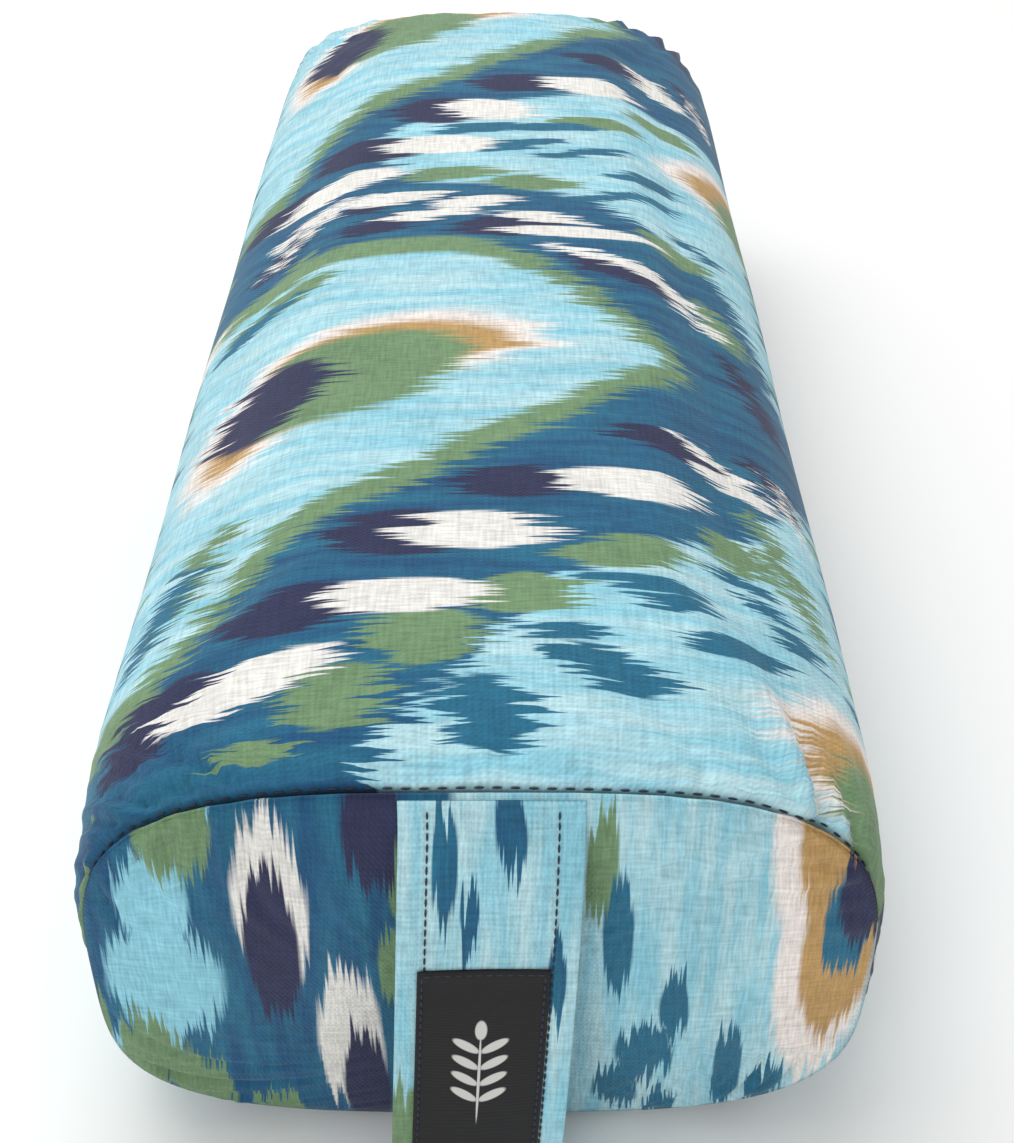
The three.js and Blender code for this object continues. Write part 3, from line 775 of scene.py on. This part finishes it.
def make_wrap():
    """The skin plus swelling, puckers, a seam groove and a slow unevenness, then its allowance."""
    y = row_places(WRAP_ROWS)
    share = np.linspace(0, 1, WRAP_COLUMNS)
    slot = np.where(np.abs(y) <= ZIP_HALF + 1, SLOT_HALF, 0.25)[:, None]
    arc = slot + (GIRTH - 2 * slot) * share[None, :]
    points = body_point(y[:, None], arc) + resampled(swell, y, share)
    normal = normals_of(points)
    from_seam = (SEAM_Y - np.abs(y))[:, None]
    side = np.where(y < 0, 0.0, 2.3)[:, None]
    groove = -0.9 * np.exp(-from_seam / 2.5)
    slow = 0.8 * np.sin(arc / 47 + y[:, None] / 83) * np.sin(arc / 71 - y[:, None] / 59 + 1.3)
    slow = slow * np.clip(from_seam / 40, 0, 1)
    push = puckers(arc, from_seam, side) + groove + slow + dart(arc, from_seam, y[:, None] < 0)
    points = points + normal * push[..., None]
    points[..., 2] = np.maximum(points[..., 2], 0.0)

    middle = np.array([0, 0, HEIGHT / 2])
    for end, at in ((0, -1), (-1, 1)):
        rim = points[end]
        inward = (middle - rim) * (1, 0, 1)
        inward = inward / np.linalg.norm(inward, axis=-1, keepdims=True)
        tucked = [rim + inward * inset - np.array([0, at * back, 0]) for inset, back in ALLOWANCE]
        if end == 0:
            points = np.concatenate([np.array(tucked[::-1]), points])
            arc = np.concatenate([np.repeat(arc[:1], len(tucked), 0), arc])
        else:
            points = np.concatenate([points, np.array(tucked)])
            arc = np.concatenate([arc, np.repeat(arc[-1:], len(tucked), 0)])

    length = points[..., 1]
    drawn = np.where(length < DRAWN_FROM, length, DRAWN_FROM + DRAWN_SHARE * (length - DRAWN_FROM))
    uv = np.stack([TOP_ARC - arc, drawn], -1)
    faces = grid_faces(*points.shape[:2], False)[:, ::-1].tolist()
    return make_piece("cover_wrap_canvas", points, faces, wrap_material, uv), points


wrap, wrap_points = make_wrap()
solidify(wrap, 1.2)
on_cushion(wrap, "cover_wrap")

# %% [markdown]
# An end panel is a flat cut of canvas, sewn all round and pushed out by the stuffing into a low
# dome. Rings of its own outline, shrinking to one point, give that shape. Its rim is drawn in
# by the stitches at the corners in the same rhythm as the wrap, and turns inwards as its
# allowance.

# %% End panels
PANEL_RINGS = 44
PANEL_COLUMNS = 208
RIM_REACH = 90.0  # mm from the middle of a panel to its rim, as the puckers count it


def make_panel(side, name, material):
    """r times the outline round the middle, out by dome (1 - r^3), with puckers near the rim."""
    arc = np.arange(PANEL_COLUMNS) * GIRTH / PANEL_COLUMNS
    share = np.linspace(0, 1, SIM_COLUMNS + 1)[:-1]
    rim = body_point(SEAM_Y, arc)
    middle_z = (HEIGHT - END_TAPER) / 2
    r = np.sin(np.linspace(0, 1, PANEL_RINGS)[1:] * np.pi / 2) ** 0.9
    r = r[:, None]
    x = rim[None, :, 0] * r
    z = middle_z + (rim[None, :, 2] - middle_z) * r
    from_rim = (1 - r) * RIM_REACH
    lift = GAP + CLOTH + PANEL_DOME * (1 - r**3)
    lift = lift + 0.8 * puckers(arc[None, :], from_rim, 1.1 + side)
    lift = lift + 1.3 * np.sin(x / 31 + side) * np.sin(z / 37 + 0.7) * np.clip(from_rim / 30, 0, 1)
    lift = lift - 1.3 * np.exp(-from_rim / 2.5)
    points = np.stack([x, side * (SEAM_Y + lift), z], -1)
    tucks = []
    for inset, back in ALLOWANCE:
        ring = points[-1].copy()
        ring[:, 0] *= 1 - inset / 140
        ring[:, 2] = middle_z + (ring[:, 2] - middle_z) * (1 - inset / 80)
        ring[:, 1] = side * (SEAM_Y + GAP + back / 2)
        tucks.append(ring)
    points = np.concatenate([points, np.array(tucks)])
    rows = len(points)
    pole = np.array([[0, side * (SEAM_Y + GAP + CLOTH + PANEL_DOME), middle_z]])
    faces = grid_faces(rows, PANEL_COLUMNS, True)
    if side < 0:
        faces = faces[:, ::-1]
    centre = rows * PANEL_COLUMNS
    j = np.arange(PANEL_COLUMNS)
    k = (j + 1) % PANEL_COLUMNS
    fan = np.stack([j, k, np.full_like(j, centre)] if side < 0 else [k, j, np.full_like(j, centre)], -1)
    every = np.concatenate([points.reshape(-1, 3), pole])
    uv = np.stack([every[:, 2], side * -every[:, 0]], -1)
    panel = make_piece(name, every, faces.tolist() + fan.tolist(), material, uv)
    return solidify(panel, 1.2)


for side, end in ((-1, "front"), (1, "back")):
    panel = make_panel(side, f"cover_{end}_panel_canvas", end_material)
    on_cushion(panel, f"cover_{end}_panel")

# %% [markdown]
# A stitch seen from outside is a short spindle of thread that dives into the cloth at both ends.
# Hundreds of them follow each seam, so one function lays small closed spindles along any path,
# each with a few dozen faces. The thread is dark spun polyester: matt, with a twist too fine to
# see at this size.


# %% Stitches
def thread_material():
    """Spun polyester sewing thread: matt navy with a fine twist."""
    material, tree, shader = new_material("spun polyester thread")
    place = add(tree, "TexCoord", out=3)
    noise = add(tree, "TexNoise", {"Vector": place, "Scale": 2500.0, "Detail": 2.0})
    tint = add(tree, "MixRGB", {"Fac": noise, "Color1": linear("#141a28"), "Color2": linear("#2b3348")})
    tree.links.new(tint, shader.inputs["Base Color"])
    tree.links.new(add(tree, "Bump", {"Height": noise, "Strength": 0.4, "Distance": 0.1 * MM}),
                   shader.inputs["Normal"])
    shader.inputs["Roughness"].default_value = 0.75
    return material


thread = thread_material()
STITCH_SIDES = 6
STITCH_RINGS = np.radians([14, 45, 90, 135, 166])


def stitches(name, path, outward, pitch, length, radius, material, tilt=0.0):
    """Spindles centred every pitch along a path: length cos(a) along it, radius sin(a) round it."""
    leg = np.linalg.norm(np.diff(path, axis=0), axis=-1)
    reach = np.concatenate([[0], np.cumsum(leg)])
    count = max(2, int(reach[-1] / pitch))
    at = (np.arange(count) + 0.5) * reach[-1] / count
    centre = np.stack([np.interp(at, reach, path[:, k]) for k in range(3)], -1)
    normal = np.stack([np.interp(at, reach, outward[:, k]) for k in range(3)], -1)
    ahead = np.stack([np.interp(at + 0.5, reach, path[:, k]) - np.interp(at - 0.5, reach, path[:, k])
                      for k in range(3)], -1)
    ahead = ahead / np.linalg.norm(ahead, axis=-1, keepdims=True)
    aside = np.cross(normal, ahead)
    aside = aside / np.linalg.norm(aside, axis=-1, keepdims=True)
    normal = np.cross(ahead, aside)
    ahead = ahead * np.cos(tilt) + aside * np.sin(tilt)
    aside = np.cross(normal, ahead)
    turn = np.arange(STITCH_SIDES) * 2 * np.pi / STITCH_SIDES
    a = STITCH_RINGS[None, :, None, None]
    b = turn[None, None, :, None]
    spread = lambda v: v[:, None, None, :]
    points = (spread(centre) + spread(ahead) * np.cos(a) * length / 2
              + spread(aside) * np.sin(a) * np.cos(b) * radius
              + spread(normal) * np.sin(a) * np.sin(b) * radius)
    one = grid_faces(len(STITCH_RINGS), STITCH_SIDES, True)[:, ::-1]
    size = len(STITCH_RINGS) * STITCH_SIDES
    starts = np.arange(count)[:, None, None] * size
    faces = (one[None] + starts).reshape(-1, 4).tolist()
    first = np.arange(STITCH_SIDES)
    caps = np.stack([first, (size - STITCH_SIDES + first)[::-1]])
    faces += (caps[None] + starts).reshape(-1, STITCH_SIDES).tolist()
    return make_piece(name, points, faces, material)


for side, end in ((-1, "front"), (1, "back")):
    rim = wrap_points[len(ALLOWANCE)] if side < 0 else wrap_points[-1 - len(ALLOWANCE)]
    outward = (rim - np.array([0, 0, HEIGHT / 2])) * (1, 0, 1)
    outward = outward / np.linalg.norm(outward, axis=-1, keepdims=True)
    path = rim + outward * 1.15 + np.array([0, side * 0.3, 0])
    seam = stitches(f"{end}_seam_stitches", path, outward, 5.5, 3.2, 0.42, thread)
    on_cushion(seam, f"{end}_seam_thread")

# %% [markdown]
# The handle is a strap of the same canvas folded double. It is sewn into the top and the bottom
# of the end seam with slack between, so a hand fits behind it. Its side view is a smooth curve
# through a few points, and its section is a flat oval carried along that curve. On the real
# pillow the slack middle comes out when it is pulled; here the strap and its stitches ride on no body.

# %% Handles
STRAP_HALF = 28.5
STRAP_THICK = 2.4
STRAP_ROUTE = np.array([
    (0.6, 168.5), (2.6, 161), (10, 143), (16, 122), (20, 101), (23, 80), (25, 60), (26.5, 40), (27, 22),
    (26.2, 13), (22, 6), (14, 3), (3.6, 2.6),
])  # distance out from the end panel, and height
STRAP_STEPS = 150
STRAP_ROUND = 40


def smooth_route(points, count):
    """A cubic curve through the points, with slopes from their neighbours, at even distances."""
    leg = np.concatenate([[0], np.cumsum(np.linalg.norm(np.diff(points, axis=0), axis=1))])
    slope = np.gradient(points, leg, axis=0)
    at = np.linspace(0, leg[-1], 20 * count)
    k = np.clip(np.searchsorted(leg, at) - 1, 0, len(points) - 2)
    h = (leg[k + 1] - leg[k])[:, None]
    u = ((at - leg[k])[:, None]) / h
    fine = ((2 * u**3 - 3 * u**2 + 1) * points[k] + (u**3 - 2 * u**2 + u) * h * slope[k]
            + (3 * u**2 - 2 * u**3) * points[k + 1] + (u**3 - u**2) * h * slope[k + 1])
    reach = np.concatenate([[0], np.cumsum(np.linalg.norm(np.diff(fine, axis=0), axis=1))])
    even = np.linspace(0, reach[-1], count)
    return np.stack([np.interp(even, reach, fine[:, c]) for c in range(2)], -1), even


route, route_reach = smooth_route(STRAP_ROUTE, STRAP_STEPS)
route_slope = np.gradient(route, axis=0)
route_slope = route_slope / np.linalg.norm(route_slope, axis=1, keepdims=True)
route_normal = np.stack([-route_slope[:, 1], route_slope[:, 0]], -1)
print(f"handle cloth {route_reach[-1]:.0f} mm long between the seams")


def strap_drift(z):
    """The strap is sewn in a little right of the middle and hangs a little left of it."""
    return 4.0 - 7.0 * np.clip(1 - z / 160, 0, 1) ** 1.2


def strap_lift(x, reach):
    """The strap isn't flat: it cups a little and waves slowly along its length."""
    return 1.1 * (x / STRAP_HALF) ** 2 - 0.5 + 0.5 * np.sin(reach / 19 + x / 26)


def on_strap(side, x, index, lift):
    """Points of a strip on the strap: x across it, index along the route, lift off its middle."""
    at = np.arange(STRAP_STEPS)
    out, z, reach, n_out, n_z = (
        np.interp(index, at, row)
        for row in (route[:, 0], route[:, 1], route_reach, route_normal[:, 0], route_normal[:, 1])
    )
    ramp = np.clip(reach / 25, 0, 1) * np.clip((route_reach[-1] - reach) / 25, 0, 1)
    total = lift + strap_lift(x, reach) * ramp
    y = side * (SEAM_Y + GAP + CLOTH + out + n_out * total)
    return np.stack(np.broadcast_arrays(x + strap_drift(z), y, np.maximum(z + n_z * total, 0.15)), -1)


def close_ends(faces, rows, columns):
    """Faces that close both open ends of a tube."""
    first = list(range(columns))
    last = [(rows - 1) * columns + k for k in first]
    return faces + [first[::-1], last]


def make_strap(side, name):
    """Flat oval section: half width sgn|cos|^0.3, half thickness sgn|sin|^0.6."""
    turn = np.arange(STRAP_ROUND) * 2 * np.pi / STRAP_ROUND
    x = STRAP_HALF * signed_power(np.cos(turn), 0.3)[None, :]
    lift = STRAP_THICK / 2 * signed_power(np.sin(turn), 0.6)[None, :]
    for line in (-19.5, 20.5):
        lift = lift * (1 - 0.35 * np.exp(-(((x - line) / 1.6) ** 2)))
    index = np.arange(STRAP_STEPS)[:, None]
    points = on_strap(side, x, index, lift)
    uv = np.stack(np.broadcast_arrays(162 - route_reach[:, None], x + 0 * index), -1)
    faces = grid_faces(STRAP_STEPS, STRAP_ROUND, True)
    if side > 0:
        faces = faces[:, ::-1]
    faces = faces.tolist()
    ends = [list(range(STRAP_ROUND)), [(STRAP_STEPS - 1) * STRAP_ROUND + k for k in range(STRAP_ROUND)]]
    ends[0 if side < 0 else 1].reverse()
    return make_piece(name, points, faces + ends, strap_material, uv)


def bend_with_grip(piece):
    """Bake the piece's placement into its points; it is not attached to a body."""
    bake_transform(piece)


TOPSTITCH_LEFT = -19.5
TOPSTITCH_RIGHT = 20.5
for side, end in ((-1, "front"), (1, "back")):
    strap = make_strap(side, f"{end}_handle_strap")
    bend_with_grip(strap)
    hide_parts(*(f"{end}_handle_{part}" for part in ("upper_end", "grip", "lower_end")))
    for word, x in (("left", TOPSTITCH_LEFT), ("right", TOPSTITCH_RIGHT)):
        index = np.linspace(2, STRAP_STEPS - 6, 300)
        path = on_strap(side, x, index, STRAP_THICK / 2 + 0.05)
        outward = on_strap(side, x, index, STRAP_THICK / 2 + 1) - path
        row = stitches(f"{end}_strap_stitches_{word}", path, outward, 3.6, 2.9, 0.38, thread)
        bend_with_grip(row)
        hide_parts(f"{end}_handle_topstitch_{word}")

# %% [markdown]
# The label is black polyester woven as satin, with its cut ends folded under and stitched down.
# Satin shows fine ribs across and catches a soft light. The figure woven in pale thread is a
# plain leaf sprig, a stock motif that names nobody. It is drawn in the label's own coordinates.

# %% Label
LABEL_X = -0.9
LABEL_HALF = 20.8
LABEL_TOP_Z = 113.0
LABEL_LOW_Z = 25.0
LABEL_THICK = 0.7
RIB_PITCH = 0.7


def label_material():
    """Black woven satin with a sprig: a stem and pairs of leaves, each a tilted spindle."""
    material, tree, shader = new_material("woven polyester satin label")
    along, across = print_place(tree)
    place = add(tree, "CombineXYZ", {0: along, 1: across})
    shapes = [(-48, 0, 20, 0.45, 0), (-25.5, 0, 4.2, 1.9, 0)]
    for k in range(4):
        z = -34.5 - 7.5 * k
        shapes += [(z + 2.2, hand * 4.6, 5.2, 1.7, hand * 52) for hand in (-1, 1)]
    wide = add(tree, "TexNoise", {"Vector": add(tree, "VectorMath", {0: place, 1: (2.6, 0.35, 1)},
                                                operation="MULTIPLY"), "Scale": 1.0, "Detail": 1.0})
    black = painted(tree, linear("#0b0b0d"), linear("#171619"), wide)
    figure = painted(tree, black, linear("#c9c8c4"), spindles(tree, place, shapes, 0.1))
    tree.links.new(figure, shader.inputs["Base Color"])
    turns = add(tree, "Math", {0: along, 1: 2 * np.pi / RIB_PITCH}, operation="MULTIPLY")
    ribs = add(tree, "Math", {0: turns}, operation="SINE")
    tree.links.new(add(tree, "Bump", {"Height": ribs, "Strength": 0.35, "Distance": 0.08 * MM}),
                   shader.inputs["Normal"])
    shader.inputs["Roughness"].default_value = 0.6
    shader.inputs["Specular IOR Level"].default_value = 0.3
    return material


def route_index(z):
    """Where along the route the strap passes a height on its way down."""
    falling = np.argsort(route[:, 1])
    return np.interp(z, route[falling, 1], np.arange(STRAP_STEPS)[falling])


def make_label():
    """A flat tube with rounded edges, laid on the strap from the top fold to the bottom fold."""
    rows, around = 90, 36
    turn = np.arange(around) * 2 * np.pi / around
    top, low = route_index(LABEL_TOP_Z), route_index(LABEL_LOW_Z)
    index = np.linspace(top, low, rows)[:, None]
    x = LABEL_X + LABEL_HALF * signed_power(np.cos(turn), 0.25)[None, :]
    lift = STRAP_THICK / 2 + 0.25 + LABEL_THICK / 2 * (1 + signed_power(np.sin(turn), 0.5))[None, :]
    from_end = np.minimum(index - top, low - index) * route_reach[-1] / STRAP_STEPS
    folded = 0.35 * np.exp(-((from_end - 2.5) / 2.2) ** 2)
    upper = np.clip(np.sin(turn), 0, 1)[None, :]
    points = on_strap(-1, x, index, lift + folded * upper)
    reach = np.interp(index, np.arange(STRAP_STEPS), route_reach)
    start = np.interp(top, np.arange(STRAP_STEPS), route_reach)
    uv = np.stack(np.broadcast_arrays(start - reach, x - LABEL_X), -1)
    faces = grid_faces(rows, around, True).tolist()
    ends = [list(range(around))[::-1], [(rows - 1) * around + k for k in range(around)]]
    return make_piece("front_handle_woven_label", points, faces + ends, label_material(), uv)


woven_label = make_label()
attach(woven_label, "front_grip")
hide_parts("front_handle_label")

label_lift = STRAP_THICK / 2 + 0.25 + LABEL_THICK
MARGIN = 1.6
top, low = route_index(LABEL_TOP_Z - MARGIN), route_index(LABEL_LOW_Z + MARGIN)
left, right = LABEL_X - LABEL_HALF + MARGIN, LABEL_X + LABEL_HALF - MARGIN
frame_x = np.concatenate([np.linspace(left, right, 60), np.full(160, right),
                          np.linspace(right, left, 60), np.full(160, left)])
frame_index = np.concatenate([np.full(60, top), np.linspace(top, low, 160), np.full(60, low),
                              np.linspace(low, top, 160)])
frame_path = on_strap(-1, frame_x, frame_index, label_lift + 0.1)
frame_out = on_strap(-1, frame_x, frame_index, label_lift + 1.1) - frame_path
label_row = stitches("label_edge_stitches", frame_path, frame_out, 3.2, 2.6, 0.4, thread)
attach(label_row, "front_grip")
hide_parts("label_stitching")

# %% [markdown]
# The zip is a coil zip: two woven tapes under the slot in the cover, a nylon coil sewn to the
# edge of each, and a nickel-plated slider that a loose tab pulls. A coil is a helix pressed
# flat, so a round section is carried along an elliptical helix, in the zip's own frame, which
# lies on the slope of the side.

# %% Zip tapes and coils
zip_x = (WIDTH / 2) * np.cos(ZIP_ANGLE) ** (2 / SQUARENESS)
slope_x = (zip_x / (WIDTH / 2)) ** (SQUARENESS - 1) / (WIDTH / 2)
slope_z = zip_drop ** (SQUARENESS - 1) / (WIDEST_Z + FLOOR_PRESS)
zip_tilt = np.arctan2(slope_z, slope_x)
zip_out = np.array([np.cos(zip_tilt), 0, -np.sin(zip_tilt)])
zip_up = np.array([np.sin(zip_tilt), 0, np.cos(zip_tilt)])
zip_middle = np.array([zip_x, 0, ZIP_Z])
along_zip = np.array([0, 1, 0])
TAPE_DEPTH = 2.2
TAPE_THICK = 0.8
TAPE_EDGE = 1.2
TAPE_HALF = 14.0
COIL_HALF = 269.0
COIL_PITCH = 1.3


def tape_material():
    """Woven polyester zip tape: navy, in a fine herringbone."""
    material, tree, shader = new_material("woven polyester zip tape")
    place = add(tree, "TexCoord", out=3)
    parts = add(tree, "SeparateXYZ", {0: place}).node
    run = add(tree, "Math", {0: parts.outputs[1], 1: 2 * np.pi / (1.1 * MM)}, operation="MULTIPLY")
    rise = add(tree, "Math", {0: parts.outputs[2], 1: 3 * MM}, operation="PINGPONG")
    slant = add(tree, "Math", {0: rise, 1: 2 * np.pi / (1.1 * MM), 2: run}, operation="MULTIPLY_ADD")
    ribs = add(tree, "Math", {0: slant}, operation="SINE")
    tint = painted(tree, linear("#1d3145"), linear("#2a445d"), over(tree, ribs, -1.0, 1.0))
    tree.links.new(tint, shader.inputs["Base Color"])
    tree.links.new(add(tree, "Bump", {"Height": ribs, "Strength": 0.4, "Distance": 0.1 * MM}),
                   shader.inputs["Normal"])
    shader.inputs["Roughness"].default_value = 0.8
    return material


def nylon_material():
    """Extruded nylon monofilament: smooth and slightly glossy, with faint drawing marks."""
    material, tree, shader = new_material("nylon coil filament")
    place = add(tree, "TexCoord", out=3)
    noise = add(tree, "TexNoise", {"Vector": place, "Scale": 900.0, "Detail": 2.0})
    tint = painted(tree, linear("#18263a"), linear("#223650"), noise)
    tree.links.new(tint, shader.inputs["Base Color"])
    shader.inputs["Roughness"].default_value = 0.42
    shader.inputs["IOR"].default_value = 1.53
    return material


tape_cloth = tape_material()
nylon = nylon_material()


def closed_strip(name, outer, inner, material):
    """A strip of cloth between an outer and an inner grid, closed at its four edges."""
    loop = np.concatenate([outer, inner[:, ::-1]], axis=1)
    rows, columns = loop.shape[:2]
    faces = grid_faces(rows, columns, True).tolist()
    return make_piece(name, loop, close_ends(faces, rows, columns), material)


tape_y = np.linspace(-ZIP_HALF + 1, ZIP_HALF - 1, 120)[:, None]
for word, span in (("upper", (TAPE_EDGE, TAPE_HALF)), ("lower", (-TAPE_HALF, -TAPE_EDGE))):
    arc = np.linspace(*span, 12)[None, :]
    outer = body_point(tape_y, arc, TAPE_DEPTH)
    inner = body_point(tape_y, arc, TAPE_DEPTH + TAPE_THICK)
    tape = closed_strip(f"zip_{word}_woven_tape", outer[:, ::-1], inner[:, ::-1], tape_cloth)
    on_cushion(tape, f"zip_tape_{word}")

    line = (1 if word == "upper" else -1) * (SLOT_HALF + 3.5)
    y = np.linspace(-ZIP_HALF + 4, ZIP_HALF - 4, 400)
    path = body_point(y, np.full_like(y, line % GIRTH), -0.5)
    outward = path - body_point(y, np.full_like(y, line % GIRTH), 0.5)
    row = stitches(f"zip_{word}_stitches", path, outward, 3.6, 2.9, 0.38, thread)
    on_cushion(row, f"zip_topstitch_{word}")

    hand = 1 if word == "upper" else -1
    turns = int(2 * COIL_HALF / COIL_PITCH)
    a = np.linspace(0, 2 * np.pi * turns, turns * 10 + 1)[:, None]
    centre = (zip_middle + zip_out * (-0.45 + 0.7 * np.cos(a))
              + hand * zip_up * (1.75 + 0.85 * np.sin(a))
              + along_zip * (a / (2 * np.pi) * COIL_PITCH - COIL_HALF))
    ahead = np.gradient(centre, axis=0)
    ahead = ahead / np.linalg.norm(ahead, axis=-1, keepdims=True)
    out = zip_out * np.cos(a) + hand * zip_up * np.sin(a)
    aside = np.cross(ahead, out)
    b = (np.arange(5) * 2 * np.pi / 5)[None, :, None]
    tube = centre[:, None] + 0.27 * (out[:, None] * np.cos(b) + aside[:, None] * np.sin(b))
    faces = grid_faces(*tube.shape[:2], True).tolist()
    coil = make_piece(f"zip_{word}_nylon_coil", tube, close_ends(faces, *tube.shape[:2]), nylon)
    on_cushion(coil, f"zip_coil_{word}")

# %% [markdown]
# The slider, its tab and the stops are die-cast zinc with a nickel plating. Their solids come
# from the frame as they are. Plating is a smooth metal, slightly uneven in its polish, so only
# the roughness varies.


# %% Nickel
def nickel_material():
    """Bright nickel over cast zinc: a warm grey metal with soft wear in its polish."""
    material, tree, shader = new_material("nickel plated zinc")
    place = add(tree, "TexCoord", out=3)
    noise = add(tree, "TexNoise", {"Vector": place, "Scale": 380.0, "Detail": 4.0})
    polish = add(tree, "MapRange", {"Value": noise, "To Min": 0.2, "To Max": 0.42})
    tree.links.new(polish, shader.inputs["Roughness"])
    tree.links.new(add(tree, "Bump", {"Height": noise, "Strength": 0.15, "Distance": 0.05 * MM}),
                   shader.inputs["Normal"])
    shader.inputs["Base Color"].default_value = linear("#c4c2bc")
    shader.inputs["Metallic"].default_value = 1.0
    return material


nickel = nickel_material()
METAL_NODES = ("zip_slider", "zip_pull_tab", "zip_top_stop_upper", "zip_top_stop_lower",
               "zip_bottom_stop")
for node in METAL_NODES:
    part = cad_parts[node]
    part.data.materials.clear()
    part.data.materials.append(nickel)

# %% [markdown]
# Inside the cover lies a muslin liner with its own end panels, a wrapped layer of cotton batting
# and a packed core. Nothing of them shows while the zip is closed, but they are the real pieces
# of the pillow, so each gets its own closed shape from the same section and its own cloth.


# %% Liner and stuffing
def fibre_material(name, dark, light, scale):
    """Undyed cotton: a soft mottle of its fibres and a matching bump."""
    material, tree, shader = new_material(name)
    place = add(tree, "TexCoord", out=3)
    noise = add(tree, "TexNoise", {"Vector": place, "Scale": scale, "Detail": 5.0})
    tree.links.new(painted(tree, linear(dark), linear(light), noise), shader.inputs["Base Color"])
    tree.links.new(add(tree, "Bump", {"Height": noise, "Strength": 0.6, "Distance": 0.6 * MM}),
                   shader.inputs["Normal"])
    shader.inputs["Roughness"].default_value = 1.0
    return material


muslin = fibre_material("unbleached cotton muslin", "#d8cfb8", "#ece5d3", 900.0)
batting = fibre_material("carded cotton batting", "#e4dfd0", "#f6f3ea", 220.0)
LINER_DEPTH = 6.5
LINER_CLOTH = 1.0
BATTING_DEPTH = 10.0
BATTING_THICK = 30.0
liner_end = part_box("liner_wrap")[1][1] / MM
batting_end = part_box("batting_wrap")[1][1] / MM
INNER_COLUMNS = 96


def inner_grid(reach, depth, rows=60, gap=0.0):
    """The body's skin, depth under the surface, between -reach and reach."""
    w = np.linspace(-1, 1, rows)
    y = reach * (0.3 * w + 0.7 * np.sin(w * np.pi / 2))
    arc = GIRTH / 2 + gap + np.linspace(0, 1, INNER_COLUMNS) * (GIRTH - 2 * gap)
    return body_point(y[:, None], arc[None, :], depth)[:, ::-1]


liner = closed_strip("liner_wrap_muslin", inner_grid(liner_end, LINER_DEPTH, gap=0.3),
                     inner_grid(liner_end, LINER_DEPTH + LINER_CLOTH, gap=0.3), muslin)
on_cushion(liner, "liner_wrap")


def inner_disc(side, end_y, depth, thickness, name, material):
    """A domed disc with the section's outline: two fans of rings joined at the rim."""
    arc = np.arange(INNER_COLUMNS) * GIRTH / INNER_COLUMNS
    rim = body_point(SEAM_Y, arc, depth)
    middle_z = (HEIGHT - END_TAPER) / 2
    r = np.concatenate([np.linspace(0.06, 1, 14), np.linspace(1, 0.06, 14)])[:, None]
    level = np.concatenate([np.full(14, thickness), np.zeros(14)])[:, None]
    x = rim[None, :, 0] * r
    z = middle_z + (rim[None, :, 2] - middle_z) * r
    y = side * (end_y + level + PANEL_DOME * (1 - r**3)) + 0 * x
    points = np.stack([x, y, z], -1)
    faces = grid_faces(*points.shape[:2], True)
    if side < 0:
        faces = faces[:, ::-1]
    first = list(range(INNER_COLUMNS))
    last = [(len(points) - 1) * INNER_COLUMNS + k for k in first]
    caps = [first, last[::-1]] if side < 0 else [first[::-1], last]
    return make_piece(name, points, faces.tolist() + caps, material)


for side, end in ((-1, "front"), (1, "back")):
    disc = inner_disc(side, liner_end + GAP, LINER_DEPTH, LINER_CLOTH,
                      f"liner_{end}_panel_muslin", muslin)
    on_cushion(disc, f"liner_{end}_panel")

batting_layer = closed_strip("batting_wrap_cotton", inner_grid(batting_end, BATTING_DEPTH, gap=0.2),
                             inner_grid(batting_end, BATTING_DEPTH + BATTING_THICK, gap=0.2), batting)
on_cushion(batting_layer, "batting_wrap")
core_grid = inner_grid(batting_end, BATTING_DEPTH + BATTING_THICK + GAP)[:, :-1]
core_faces = grid_faces(*core_grid.shape[:2], True).tolist()
core_faces = close_ends(core_faces, *core_grid.shape[:2])
core = make_piece("batting_core_cotton", core_grid, core_faces, batting)
on_cushion(core, "batting_core")
